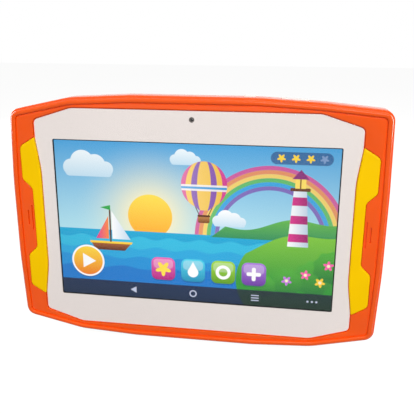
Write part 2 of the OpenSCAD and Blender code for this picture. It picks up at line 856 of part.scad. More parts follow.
module speaker_leads_left() {
    y = tray_y + 1.4;
    low = -(screen_h / 2 + 2.9);
    color(black_plastic) on_face() for (s = [-1, 1]) {
        d = 0.7 * s;
        x = -speaker_x + 3 + d;
        up_x = battery_right + 5 - d;
        wire(smooth([
            [x, lead_out_y, -5], [x, lead_out_y + 0.2, -10.5], [x, y, -18], [x + 1, y, -32],
            [x + 5, y, low + 12], [-speaker_x + 18, y, low + 2 + d], [-speaker_x + 34, y, low + d],
            [-22, y, low + d], [up_x - 5, y, low + 3 + d], [up_x, y, low + 16], [up_x, y, -15],
            [up_x + 1, y, board_bottom - 10], [board_left + 1 - d, board_back_y + 1, board_bottom - 2],
            [board_left + 3 - d, lead_on_board_y + 0.1, board_bottom + 1.5],
            [board_left + 3 - d, lead_on_board_y, board_bottom + 3]
        ]), lead_d);
    }
}

// ---- cameras and microphone ----

module front_camera() {
    color(black_plastic) on_face() difference() {
        union() {
            peg(camera_x, camera_z, camera_barrel_d, film_back_y, film_back_y + camera_barrel_t + eps);
            block(camera_x, camera_z, camera_side, camera_side,
                  film_back_y + camera_barrel_t, film_back_y + camera_t);
        }
        peg(camera_x, camera_z, camera_pupil_d, film_back_y - eps, film_back_y + camera_barrel_t / 2);
    }
}

module rear_camera() {
    out_y = back_in_y + rear_barrel_out;
    color(black_plastic) on_face() difference() {
        union() {
            block(rear_x, rear_z, rear_side, rear_side, board_back_y, board_back_y + rear_camera_t);
            peg(rear_x, rear_z, rear_barrel_d, board_back_y + rear_camera_t - eps, out_y);
        }
        peg(rear_x, rear_z, rear_pupil_d, out_y - rear_pupil_d / 2, out_y + eps);
    }
}

module rear_lens_ring() {
    color(steel) on_face() difference() {
        peg(rear_x, rear_z, rear_ring_d - ring_fit, back_y - ring_t, back_y);
        peg(rear_x, rear_z, rear_hole_d, back_y - ring_t - eps, back_y + eps);
    }
}

module rear_lens_window() {
    color("#20242c", 0.5) on_face()
        peg(rear_x, rear_z, rear_hole_d - ring_fit, back_y - ring_t - ring_fit, back_y - lens_sunk);
}

module microphone() {
    color(steel) on_face() peg(mic_x, tab_top - 4, 4, board_back_y, board_back_y + 1.5);
}

// ---- sockets ----

// Where the face of a socket of width w stands behind the right wall, which leans in upwards
// and curves in towards the back; y is the socket's back
function socket_face(z, w, y) = side_x(z + w / 2) - cover_in(y) - socket_gap;

module usb_socket() {
    x1 = socket_face(usb_z, usb_w, board_back_y + usb_t) + cover_wall;
    color(steel) on_face() translate([x1 - usb_len, board_back_y, usb_z - usb_w / 2]) {
        difference() {
            cube([usb_len, usb_t, usb_w]);
            translate([1, usb_wall, usb_wall]) cube([usb_len, usb_t - 2 * usb_wall, usb_w - 2 * usb_wall]);
        }
        translate([0.5, usb_t - usb_wall - 1.1, 1.8]) cube([usb_len - 1, 0.6, usb_w - 3.6]);
    }
}

module card_socket() {
    x1 = socket_face(card_z, card_w, board_back_y + card_t);
    color(steel) on_face() translate([x1 - card_len, board_back_y, card_z - card_w / 2]) difference() {
        cube([card_len, card_t, card_w]);
        translate([0.6, (card_t - card_slot_t) / 2, (card_w - card_slot_w) / 2])
            cube([card_len, card_slot_t, card_slot_w]);
    }
}

module headphone_socket() {
    x1 = socket_face(jack_z, jack_w, jack_y + jack_t / 2);
    color(black_plastic) on_face() difference() {
        translate([x1 - jack_depth - jack_end, jack_y - jack_t / 2, jack_z - jack_w / 2])
            cube([jack_depth + jack_end, jack_t, jack_w]);
        translate([x1 - jack_depth, jack_y, jack_z]) rotate([0, 90, 0])
            cylinder(h = jack_depth + eps, d = jack_bore_d);
    }
}

// ---- keys ----

// The place of a key: the outer face of the upper edge, turned as the edge leans there
module key_place(x) {
    translate([x, key_y, top_z(x)]) rotate([0, x > edge_flat ? edge_lean : 0, 0]) children();
}

// The flange's inner face, under the outer face of the edge, and the end of the foot on it
function flange_end(gap) = -cover_in(key_y + key_t / 2 + flange_side) - gap - flange_t;
function foot_end(gap) = flange_end(gap) - foot_drop;

// A key with its flange behind the wall and a foot over each switch
module key(w, flange_gap, feet) {
    flange_z = flange_end(flange_gap);
    translate([-w / 2, -key_t / 2, flange_z + eps]) cube([w, key_t, key_proud - flange_z - eps]);
    translate([-w / 2 - flange_over, -key_t / 2 - flange_side, flange_z])
        cube([w + 2 * flange_over, key_t + 2 * flange_side, flange_t]);
    for (f = feet) translate([f, 0, flange_z - foot_drop]) cylinder(h = foot_drop + eps, d = foot_d);
}

module plunger(f, flange_gap) {
    translate([f, 0, foot_end(flange_gap) - plunger_out - plunger_in])
        cylinder(h = plunger_out + plunger_in, d = plunger_d);
}

module switch(f, flange_gap) {
    top = foot_end(flange_gap) - plunger_out;
    difference() {
        translate([f - switch_w / 2, -switch_t / 2, top - switch_h]) cube([switch_w, switch_t, switch_h]);
        translate([f, 0, top - plunger_well])
            cylinder(h = plunger_well + eps, d = plunger_d + 2 * plunger_gap);
    }
}

module power_button() {
    color(pale) on_face() key_place(power_x) key(power_w, power_flange_gap, [0]);
}

module power_plunger() {
    color("#e6e0cf") on_face() key_place(power_x) plunger(0, power_flange_gap);
}

module power_switch() {
    color(black_plastic) on_face() key_place(power_x) switch(0, power_flange_gap);
}

module volume_rocker() {
    color(pale) on_face() key_place(volume_x)
        key(volume_w, volume_flange_gap, [-volume_spread, volume_spread]);
}

module volume_plungers() {
    color("#e6e0cf") on_face() key_place(volume_x)
        for (s = [-1, 1]) plunger(s * volume_spread, volume_flange_gap);
}

module volume_switches() {
    color(black_plastic) on_face() key_place(volume_x)
        for (s = [-1, 1]) switch(s * volume_spread, volume_flange_gap);
}

front_frame();
grip_left();
grip_right();
touch_panel();
border_film();
panel_tape();
screen_gasket();
screen_cell();
screen_backlight();
back_cover();
cover_screws();
main_board();
board_screws();
processor();
memory_chips();
power_chip();
radio_module();
ribbon_sockets();
screen_ribbon();
touch_ribbon();
camera_ribbon();
battery();
battery_tape();
battery_socket();
battery_leads();
speaker_left();
speaker_right();
speaker_gasket_left();
speaker_gasket_right();
speaker_leads_left();
speaker_leads_right();
front_camera();
rear_camera();
rear_lens_ring();
rear_lens_window();
microphone();
usb_socket();
headphone_socket();
card_socket();
power_button();
power_plunger();
power_switch();
volume_rocker();
volume_plungers();
volume_switches();
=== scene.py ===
# %% [markdown]
# # A child's seven-inch tablet
# An orange ABS case in two halves, two yellow rubber grips, a sheet of glass and a lit picture
# behind it. The construction model gives every place and size. This lesson builds the skins that
# the eye sees: each is a surface worked out with numpy, and each material is made of nodes.
# The tablet stands on its long lower edge. X runs right, Y to the back, Z up.

import json
import math

import bpy
import numpy as np
from mathutils import Matrix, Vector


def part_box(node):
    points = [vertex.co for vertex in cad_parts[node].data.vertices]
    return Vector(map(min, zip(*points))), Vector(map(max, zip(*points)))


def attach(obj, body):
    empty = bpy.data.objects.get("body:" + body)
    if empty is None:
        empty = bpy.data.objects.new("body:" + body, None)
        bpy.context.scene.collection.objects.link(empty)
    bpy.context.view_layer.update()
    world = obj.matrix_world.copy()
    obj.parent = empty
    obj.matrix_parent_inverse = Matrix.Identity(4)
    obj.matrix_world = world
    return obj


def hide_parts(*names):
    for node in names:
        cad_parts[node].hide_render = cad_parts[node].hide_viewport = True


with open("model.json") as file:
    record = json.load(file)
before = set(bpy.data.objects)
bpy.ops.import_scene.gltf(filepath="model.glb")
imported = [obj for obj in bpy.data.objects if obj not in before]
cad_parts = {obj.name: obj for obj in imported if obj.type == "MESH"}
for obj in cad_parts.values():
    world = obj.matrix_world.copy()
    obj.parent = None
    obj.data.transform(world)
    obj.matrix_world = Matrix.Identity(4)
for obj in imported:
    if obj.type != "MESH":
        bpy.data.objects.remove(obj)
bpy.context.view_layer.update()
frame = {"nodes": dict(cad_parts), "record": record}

# %% [markdown]
# ## Driving sizes
# All sizes below are millimetres, measured from the middle of the screen, as a designer would
# give them. What the construction model can tell is read from it, so the two can't drift apart.

# %% Sizes
MM = 0.001


def span(name):
    """Lowest and highest corner of a construction node, in mm from the middle of the screen."""
    low, high = (np.array(corner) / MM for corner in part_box(name))
    return low - [0, 0, MID_Z], high - [0, 0, MID_Z]


def middle(name):
    """The middle of a construction node's box, in the same mm."""
    low, high = span(name)
    return (low + high) / 2


MID_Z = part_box("back_cover")[1].z / MM / 2
cover_low, cover_high = span("back_cover")
glass_low, glass_high = span("touch_panel")
film_low, film_high = span("border_film")

BODY_W = 2 * cover_high[0]
BODY_H = 2 * cover_high[2]
CREST_Y = span("front_frame")[0][1]
BACK_Y = cover_high[1]
SEAM_Y = cover_low[1]
GLASS_Y = glass_low[1]
GLASS_PROUD = 0.1
FACE_Y = GLASS_Y + GLASS_PROUD
FILM_Y = film_low[1]

EDGE_FLAT, EDGE_BOW = 34.0, 1.8
SHOULDER_RUN, SHOULDER_FALL, CORNER_R = 35.2, 9.2, 6.0
SIDE_FLAT, SIDE_LEAN = 22.0, 1.6
RIGHT_LEAN, RIGHT_FALL, RIGHT_R = 0.9, 5.0, 6.0
RIM_W, SEAM_STEP = 2.7, 1.0
GROOVE_W, GROOVE_D = 0.5, 0.4
COVER_WALL, BACK_ROUND_W, BACK_ROUND_D = 1.8, 10.0, 3.6
PICTURE_W, PICTURE_H = 153.6, 90.0
PANEL_GAP = 0.25
print(f"case {BODY_W:.1f} x {BODY_H:.1f} mm, crest {CREST_Y:.2f}, seam {SEAM_Y:.2f}, back {BACK_Y:.2f}")

# %% [markdown]
# ## The camera
# Cords and camera come first. The tablet has no cord. The camera looks from a little right of the
# middle and from above, at arm's length, which is how such a tablet is held out to someone.

# %% Camera
CAMERA_AZIMUTH, CAMERA_ELEVATION, CAMERA_ROLL = 8.643, 16.629, 0.304
CAMERA_DISTANCE = 312.45
CAMERA_TARGET = (7.834, FILM_Y, 11.233)
LENS_MM, SENSOR_MM = 50.48, 36.0


def camera_axes(azimuth, elevation, roll):
    """Right, up and backward unit vectors: backward points from the target to the camera, right
    is level, and the first two turn by roll about the third."""
    a, e, r = np.radians([azimuth, elevation, roll])
    back = np.array([np.sin(a) * np.cos(e), -np.cos(a) * np.cos(e), np.sin(e)])
    right = np.array([np.cos(a), np.sin(a), 0.0])
    up = np.cross(back, right)
    return np.cos(r) * right + np.sin(r) * up, np.cos(r) * up - np.sin(r) * right, back


def stood(name, data, axes, place):
    """A camera or a lamp at a place in metres. It looks against the last of its three axes."""
    made = bpy.data.objects.new(name, data)
    bpy.context.scene.collection.objects.link(made)
    pose = np.eye(4)
    pose[:3, :3] = np.stack(axes, axis=1)
    pose[:3, 3] = place
    made.matrix_world = Matrix(pose)
    return made


axes = camera_axes(CAMERA_AZIMUTH, CAMERA_ELEVATION, CAMERA_ROLL)
lens = bpy.data.cameras.new("camera")
lens.lens, lens.sensor_width = LENS_MM, SENSOR_MM
lens.clip_start, lens.clip_end = 0.01, 20
eye = (np.array(CAMERA_TARGET) + CAMERA_DISTANCE * axes[2] + [0, 0, MID_Z]) * MM
bpy.context.scene.camera = stood("camera", lens, axes, eye)
print("camera at, mm:", np.round(eye / MM, 1))

# %% [markdown]
# ## Outlines
# The case is a soft rectangle: each long edge has a straight middle and falls away to a shoulder,
# and each side leans in above and below its middle. The upper right corner is fuller than the
# rest. Rather than trace it point by point, a maker gives its corners and a radius at each. The
# same corners, moved inwards, give the rim, the groove and every other line that runs round the
# case.

# %% Rounded outlines
ARC_STEPS = 10


def outline(corners, inset=0.0, steps=ARC_STEPS):
    """A closed path through corners [x, z, radius], anticlockwise, moved inwards by inset.

    A corner v between unit directions a and b moves along both normals by inset. Its arc starts
    r * tan(t / 2) before v, where t is the turn from a to b, and turns by t about a point r to
    the left. Every corner gets the same number of points, so two insets pair up point by point."""
    corners = np.asarray(corners, float)
    point = corners[:, :2]
    a = point - np.roll(point, 1, axis=0)
    a /= np.linalg.norm(a, axis=1, keepdims=True)
    b = np.roll(a, -1, axis=0)
    cosine = (a * b).sum(axis=1)
    turn = np.arctan2(a[:, 0] * b[:, 1] - a[:, 1] * b[:, 0], cosine)
    left_a = np.stack([-a[:, 1], a[:, 0]], axis=1)
    left_b = np.stack([-b[:, 1], b[:, 0]], axis=1)
    moved = point + inset * (left_a + left_b) / (1 + cosine)[:, None]
    radius = np.maximum(corners[:, 2] - inset * np.sign(turn), 0.05)
    start = moved - a * (radius * np.tan(np.abs(turn) / 2))[:, None]
    centre = start + left_a * (radius * np.sign(turn))[:, None]
    angle = turn[:, None] * np.linspace(0, 1, steps + 1)
    spoke = (start - centre)[:, None, :]
    x = spoke[..., 0] * np.cos(angle) - spoke[..., 1] * np.sin(angle)
    z = spoke[..., 0] * np.sin(angle) + spoke[..., 1] * np.cos(angle)
    return (centre[:, None, :] + np.stack([x, z], axis=-1)).reshape(-1, 2)


def four_quarters(quarter):
    """A quarter's corners, from the right side up to the top, mirrored into all four quarters."""
    quarter = np.asarray(quarter, float)
    flip_x, flip_z = quarter * [-1, 1, 1], quarter * [1, -1, 1]
    return np.concatenate([quarter, flip_x[::-1], flip_x * [1, -1, 1], flip_z[::-1]])


def two_halves(upper):
    """An upper half's corners, from the right side over to the left, mirrored below."""
    upper = np.asarray(upper, float)
    return np.concatenate([upper, upper[::-1] * [1, -1, 1]])


BODY = four_quarters([
    [BODY_W / 2, SIDE_FLAT, 300],
    [BODY_W / 2 - SIDE_LEAN, BODY_H / 2 - SHOULDER_FALL, CORNER_R],
    [BODY_W / 2 - SHOULDER_RUN, BODY_H / 2 - EDGE_BOW, 40],
    [EDGE_FLAT, BODY_H / 2, 60],
])
BODY[1] = BODY_W / 2 - RIGHT_LEAN, BODY_H / 2 - RIGHT_FALL, RIGHT_R
PANEL_W, PANEL_H = 2 * glass_high[0], 2 * glass_high[2]
PANEL_WAIST = 2.4
PANEL = four_quarters([
    [PANEL_W / 2 - PANEL_WAIST, 28, 60],
    [PANEL_W / 2, 45.5, 25],
    [PANEL_W / 2, PANEL_H / 2 - 6.8, 3],
    [PANEL_W / 2 - 21.4, PANEL_H / 2, 12],
])
GRIP_REACH, GRIP_NARROW, GRIP_GAP = 96.1, 90.7, 0.02
GRIP_TIP, LOBE_HIGH, LOBE_LOW, NARROW_Z, LOBE_R = 46.34, 41.0, 22.5, 17.3, 3.6
GRIP = two_halves([
    [GRIP_NARROW, NARROW_Z, LOBE_R],
    [GRIP_REACH, LOBE_LOW, LOBE_R],
    [GRIP_REACH, LOBE_HIGH, LOBE_R],
    [PANEL_W / 2 + GRIP_GAP, GRIP_TIP, 0.6],
    [PANEL_W / 2 - PANEL_WAIST + GRIP_GAP, 28, 60],
])
GRIP = np.roll(GRIP, 4, axis=0)  # it starts at the lower tip


def rounded_box(w, h, r):
    """The corners of a w by h rectangle with corner radius r, about its middle."""
    return np.array([[w / 2, h / 2, r], [-w / 2, h / 2, r], [-w / 2, -h / 2, r], [w / 2, -h / 2, r]])


def circle(r, points=48):
    """Points of a circle: r times the cosine and sine of even steps."""
    t = np.linspace(0, 2 * np.pi, points, endpoint=False)
    return r * np.stack([np.cos(t), np.sin(t)], axis=1)


print("body outline:", len(outline(BODY)), "points; upper edge at", round(outline(BODY)[:, 1].max(), 2))

# %% [markdown]
# ## Surfaces
# Almost every skin here is one idea: an outline carried along a profile. The profile is a list of
# steps (how far in, how deep), and its own roundings are quarter ellipses. Points on the grid are
# outline by profile, the faces join neighbours, and two caps close the ends.

# %% Lofts
def basis(normal, up):
    """Right, up and outward directions of a plane seen from outside."""
    n, v = np.array(normal, float), np.array(up, float)
    return np.cross(v, n), v, n


def loft(rings, depths, origin=(0, 0, 0), normal=(0, -1, 0), up=(0, 0, 1), closed=False):
    """Vertices and faces of a closed solid through rings of the same number of points.

    Point k of ring i lies at origin + x * right + z * up - depth_i * outward. The first ring
    faces outward and the last faces inward, so every face points out of the solid. A closed loft
    has no caps: its last ring joins its first."""
    u, v, n = basis(normal, up)
    rings, depths = np.asarray(rings, float), np.asarray(depths, float)
    points = rings[..., :1] * u + rings[..., 1:] * v - depths[:, None, None] * n
    m, count = rings.shape[:2]
    i, k = np.meshgrid(np.arange(m if closed else m - 1), np.arange(count), indexing="ij")
    j, following = (i + 1) % m, (k + 1) % count
    corners = [i * count + k, j * count + k, j * count + following, i * count + following]
    faces = np.stack(corners, axis=-1).reshape(-1, 4).tolist()
    if not closed:
        faces += [list(range(count)), list(range(m * count - 1, (m - 1) * count - 1, -1))]
    return points.reshape(-1, 3) + np.array(origin, float), faces


def rounding(start, end, steps, out_first=False):
    """A quarter ellipse of [inset, depth] from start to end. It leaves start along the depth if
    out_first, and along the inset otherwise."""
    t = np.linspace(0, np.pi / 2, steps + 1)
    across, along = (1 - np.cos(t), np.sin(t)) if out_first else (np.sin(t), 1 - np.cos(t))
    start, end = np.array(start, float), np.array(end, float)
    return np.stack([start[0] + (end[0] - start[0]) * across,
                     start[1] + (end[1] - start[1]) * along], axis=1)


def joined(*stretches):
    """Profile stretches put end to end, with doubled points left out."""
    steps = np.concatenate([np.atleast_2d(s) for s in stretches])
    keep = np.append(True, np.abs(np.diff(steps, axis=0)).sum(axis=1) > 1e-6)
    return steps[keep]


def carried(corners, profile, **place):
    """The solid that a profile makes when it is carried round an outline."""
    return loft([outline(corners, inset) for inset, _ in profile], profile[:, 1], **place)


# %% [markdown]
# ## Pieces
# A surface becomes a Blender object here. Its place is in its vertices, so the object itself sits
# at the origin, and patterns that read Object coordinates are in metres from there.

# %% Make and cut pieces
CREASE = math.radians(32)
FINISH = {}  # every slot's material, by the slot's name


def add_object(name, points, faces):
    """An object whose mesh is still in mm about the middle of the screen. Cuts work best there."""
    mesh = bpy.data.meshes.new(name)
    mesh.from_pydata(np.asarray(points).tolist(), [], faces)
    mesh.update()
    made = bpy.data.objects.new(name, mesh)
    bpy.context.scene.collection.objects.link(made)
    return made


def merged(*solids):
    """Several (points, faces) solids as one."""
    shift = np.cumsum([0] + [len(points) for points, _ in solids])
    faces = [[k + s for k in face] for (_, fs), s in zip(solids, shift) for face in fs]
    return np.concatenate([points for points, _ in solids]), faces


def cut(target, cutters):
    """Takes each (points, faces) solid out of the target, one after another."""
    for solid in cutters:
        tool = add_object("cutter", *solid)
        bite = target.modifiers.new("bite", "BOOLEAN")
        bite.operation, bite.solver, bite.object = "DIFFERENCE", "EXACT", tool
        bpy.context.view_layer.update()
        shaped = target.evaluated_get(bpy.context.evaluated_depsgraph_get())
        mesh = bpy.data.meshes.new_from_object(shaped)
        target.modifiers.clear()
        old = target.data
        target.data = mesh
        bpy.data.meshes.remove(old)
        spare = tool.data
        bpy.data.objects.remove(tool)
        bpy.data.meshes.remove(spare)
    return target


def in_metres(made):
    """Takes the mesh from mm about the middle of the screen to metres over the ground."""
    made.data.transform(Matrix.Scale(MM, 4) @ Matrix.Translation((0, 0, MID_Z)))
    return made


def skin(name, solid, slot, node=None, body="case", finish=None, cutters=()):
    """Makes a piece, cuts it, sets it down in metres and shades it smooth up to a crease angle.
    It takes its slot's finish unless another is given, rides on a body, and stands for a
    construction node if one is named."""
    made = in_metres(cut(add_object(name, *solid), cutters))
    made.data.name = name
    made.data.materials.clear()
    made.data.materials.append(finish or FINISH[slot])
    made.data.shade_smooth()
    made.data.set_sharp_from_angle(angle=CREASE)
    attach(made, body)
    if node:
        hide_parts(node)
    print(f"{name}: {sum(len(p.vertices) - 2 for p in made.data.polygons)} triangles")


# %% [markdown]
# ## Materials: how a node goes in
# One small function adds any node. Its plain settings are keywords, and its sockets come as a list
# or a dictionary, whose values are numbers, colours or the outputs of other nodes. Patterns are
# sized in real millimetres, so every material starts from a place in mm.

# %% Node helper and colour
def linear(code):
    """An sRGB hex colour as linear RGBA: the lower part of the curve is a line, the rest a power."""
    c = np.array([int(code[i:i + 2], 16) for i in (0, 2, 4)]) / 255
    c = np.where(c <= 0.04045, c / 12.92, ((c + 0.055) / 1.055) ** 2.4)
    return (*c, 1.0)


def put(tree, kind, sockets=(), out=0, **settings):
    """Adds a node with its settings, fills its sockets, and gives back the output asked for. A word
    after the kind is its operation. A list fills the sockets in order, and a dictionary by name or
    number."""
    kind, _, operation = kind.partition(" ")
    made = tree.nodes.new("ShaderNode" + kind)
    if operation:
        made.operation = operation
    for key, value in settings.items():
        setattr(made, key, value)
    for key, value in sockets.items() if isinstance(sockets, dict) else enumerate(sockets):
        if isinstance(value, bpy.types.NodeSocket):
            tree.links.new(value, made.inputs[key])
        else:
            made.inputs[key].default_value = value
    return made.outputs[out] if made.outputs else None


def new_material(name):
    """An empty node material, and its tree."""
    material = bpy.data.materials.new(name)
    material.use_nodes = True
    material.node_tree.nodes.clear()
    return material, material.node_tree


def shown(material, shader):
    """The material, with its last shader joined to an output."""
    put(material.node_tree, "OutputMaterial", {"Surface": shader})
    return material


def in_mm(tree):
    """Where a point is on the object, in mm."""
    place = put(tree, "TexCoord", out="Object")
    return put(tree, "VectorMath SCALE", {0: place, 3: 1 / MM})


def drift(tree, place, grain_mm, detail, low, high, start=0.3, end=0.7):
    """A value that wanders between low and high, in lumps about grain_mm across. Noise from start
    to end spans the whole way."""
    lumps = put(tree, "TexNoise", {"Vector": place, "Scale": 1 / grain_mm, "Detail": detail})
    return put(tree, "MapRange", [lumps, start, end, low, high])


# %% [markdown]
# ## Moulded plastic
# The case is ABS, injection moulded in a polished steel tool. To the eye that is a strong colour
# with a soft sheen, a faint orange-peel from the cooling skin, slow clouding where the pigment
# flowed, and a fine haze of handling marks that dulls the sheen here and there. The keys are the
# same plastic in a pale colour, and the grips a softer, duller one.

# %% Moulded ABS
def moulded(name, code, roughness, clouding=0.04, peel_mm=0.9, peel=0.006, specular=0.35):
    """A moulded plastic: clouded colour, uneven sheen and a shallow orange-peel surface."""
    material, tree = new_material(name)
    place = in_mm(tree)
    flow = drift(tree, place, 26, 3, 1 - clouding, 1 + clouding)
    colour = put(tree, "HueSaturation", {"Color": linear(code), "Value": flow})
    sheen = drift(tree, place, 5, 6, roughness - 0.04, roughness + 0.07, start=0.35)
    lumps = put(tree, "TexNoise", {"Vector": place, "Scale": 1 / peel_mm, "Detail": 3})
    relief = put(tree, "Bump", {"Height": lumps, "Distance": peel * MM, "Strength": 1.0})
    return shown(material, put(tree, "BsdfPrincipled", {
        "Base Color": colour, "Roughness": sheen, "Normal": relief, "IOR": 1.53,
        "Specular IOR Level": specular,
    }))


FINISH["orange_abs"] = moulded("moulded_orange_abs", "f65708", 0.13, specular=0.18)
FINISH["pale_abs"] = moulded("moulded_pale_abs", "eee3de", 0.16, clouding=0.01)
FINISH["yellow_rubber"] = moulded("yellow_grip_rubber", "fecc00", 0.34, clouding=0.03,
                                  peel_mm=0.6, peel=0.008, specular=0.08)
FINISH["black_plastic"] = moulded("black_nylon", "1c1d20", 0.45)
FINISH["natural_nylon"] = moulded("natural_nylon", "e6e0cf", 0.5)

# %% [markdown]
# ## The printed border
# The white border is ink on the back of the glass. Ink is matt and very even: a trace of mottle
# from the screen print's mesh, and no relief at all. A black line runs round the picture.

# %% Printed ink
def printed(name, code):
    """Screen-printed ink: an even colour with a faint mottle."""
    material, tree = new_material(name)
    place = in_mm(tree)
    mottle = drift(tree, place, 1.6, 4, 0.985, 1.0)
    wash = drift(tree, place, 60, 1, 0.97, 1.0)
    value = put(tree, "Math MULTIPLY", [mottle, wash])
    colour = put(tree, "HueSaturation", {"Color": linear(code), "Value": value})
    return shown(material, put(tree, "BsdfPrincipled", {
        "Base Color": colour, "Roughness": 0.6, "Specular IOR Level": 0.2,
    }))


FINISH["white_print"] = printed("white_screen_ink", "efe6e2")

# %% [markdown]
# ## Glass
# The cover is toughened soda-lime glass, 0.9 mm thick. What the eye gets from it is what lies
# behind, and a mirror image that grows towards a grazing view. A true refracting sheet would put
# the white ink in its own shade, so the sheet lets light straight through and mirrors a share of
# it by Fresnel's law, from its outer faces only.

# %% Sheet glass
def sheet_glass(name, tint, roughness):
    """A clear sheet: transparent, with a mirror share that follows the view's angle."""
    material, tree = new_material(name)
    smear = drift(tree, in_mm(tree), 14, 5, roughness, roughness + 0.06, 0.4, 0.75)
    share = put(tree, "Fresnel", {"IOR": 1.25})
    outer = put(tree, "Math SUBTRACT", [1.0, put(tree, "NewGeometry", out="Backfacing")])
    share = put(tree, "Math MULTIPLY", [share, outer])
    clear = put(tree, "BsdfTransparent", {"Color": linear(tint)})
    mirror = put(tree, "BsdfAnisotropic", {"Roughness": smear})
    return shown(material, put(tree, "MixShader", [share, clear, mirror]))


FINISH["cover_glass"] = sheet_glass("toughened_glass", "ffffff", 0.02)

# %% [markdown]
# ## Metals, foils, films and foam
# These sit inside or at the openings. A pressed or plated part is bright with fine streaks in the
# rolling direction. Solder mask is a thin green lacquer over copper tracks that show as raised
# lines. Foam is a mass of cells. Wire insulation is PVC, a soft plastic.

# %% Metal, board, foam, film and foil
def rolled_metal(name, code, roughness, streak=(0.3, 6, 0.3)):
    """Rolled or plated metal: fine streaks, longer one way, in its sheen and its relief."""
    material, tree = new_material(name)
    place = put(tree, "VectorMath MULTIPLY", [in_mm(tree), streak])
    lines = put(tree, "TexNoise", {"Vector": place, "Scale": 1.0, "Detail": 4})
    return shown(material, put(tree, "BsdfPrincipled", {
        "Base Color": linear(code), "Metallic": 1.0,
        "Roughness": put(tree, "MapRange", [lines, 0.3, 0.7, roughness - 0.05, roughness + 0.1]),
        "Normal": put(tree, "Bump", {"Height": lines, "Distance": 0.004 * MM}),
    }))


def solder_mask(name, code):
    """A circuit board's lacquer: copper tracks stand out as paler raised runs."""
    material, tree = new_material(name)
    upright = put(tree, "Mapping", {0: in_mm(tree), "Rotation": (math.radians(90), 0, 0)})
    tracks = put(tree, "TexBrick", {
        "Vector": upright,
        "Scale": 0.5, "Mortar Size": 0.12, "Mortar Smooth": 0.2, "Brick Width": 2.6, "Row Height": 0.8,
        "Color1": linear(code), "Color2": linear("1a6338"), "Mortar": linear("3f9a5c"),
    }).node.outputs
    return shown(material, put(tree, "BsdfPrincipled", {
        "Base Color": tracks["Color"], "Roughness": 0.3,
        "Normal": put(tree, "Bump", {"Height": tracks["Fac"], "Distance": 0.03 * MM}),
    }))


def foam(name, code):
    """Closed-cell foam: a mass of small pits."""
    material, tree = new_material(name)
    cells = put(tree, "TexVoronoi", {"Vector": in_mm(tree), "Scale": 1 / 0.35})
    colour = put(tree, "Mix", {0: cells, 6: linear(code), 7: linear("3a3b40")}, 2, data_type="RGBA")
    return shown(material, put(tree, "BsdfPrincipled", {
        "Base Color": colour, "Roughness": 0.95,
        "Normal": put(tree, "Bump", {"Height": cells, "Distance": 0.1 * MM}),
    }))


def copper_film(name):
    """Amber polyimide film with darker copper runs under it, one every half millimetre."""
    material, tree = new_material(name)
    runs = put(tree, "TexWave", {"Vector": in_mm(tree), "Scale": 0.6, "Distortion": 0.0}, "Fac")
    colour = put(tree, "Mix", {0: runs, 6: linear("a8641c"), 7: linear("d39a45")}, 2, data_type="RGBA")
    return shown(material, put(tree, "BsdfPrincipled", {"Base Color": colour, "Roughness": 0.25}))


FINISH["plated_steel"] = rolled_metal("nickel_plated_steel", "c9ccd0", 0.18)
FINISH["tray_steel"] = rolled_metal("rolled_steel", "b9bcc0", 0.32)
FINISH["battery_foil"] = rolled_metal("aluminium_foil", "b4b9bf", 0.4, streak=(1, 1, 1))
FINISH["board_green"] = solder_mask("green_solder_mask", "14512d")
FINISH["black_foam"] = foam("closed_cell_foam", "1d1e21")
FINISH["ribbon_film"] = copper_film("polyimide_film")
FINISH["lead_red"] = moulded("red_pvc", "b5201c", 0.4)
FINISH["lead_black"] = moulded("black_pvc", "1a1a1c", 0.4)
grey_plastic = moulded("grey_nylon", "6a6360", 0.45)
FINISH["dark_glass"] = moulded("dark_lens_glass", "0b0d12", 0.05, peel=0.0, specular=0.5)
tinted_glass = sheet_glass("tinted_lens_window", "565c66", 0.02)

# %% [markdown]
# ## The picture
# The screen is a liquid crystal panel lit from behind, so its picture is light and not paint. The
# picture here is a plain seaside scene of its own: a bay with a lighthouse, a balloon, a boat and
# a rainbow, a few round buttons and a dark bar below. Each shape is a distance worked out from
# the point's place, which stays crisp however close one looks. Shapes are painted over one
# another, as with poster colour.

# %% Painter
SOFT_EDGE = 0.12


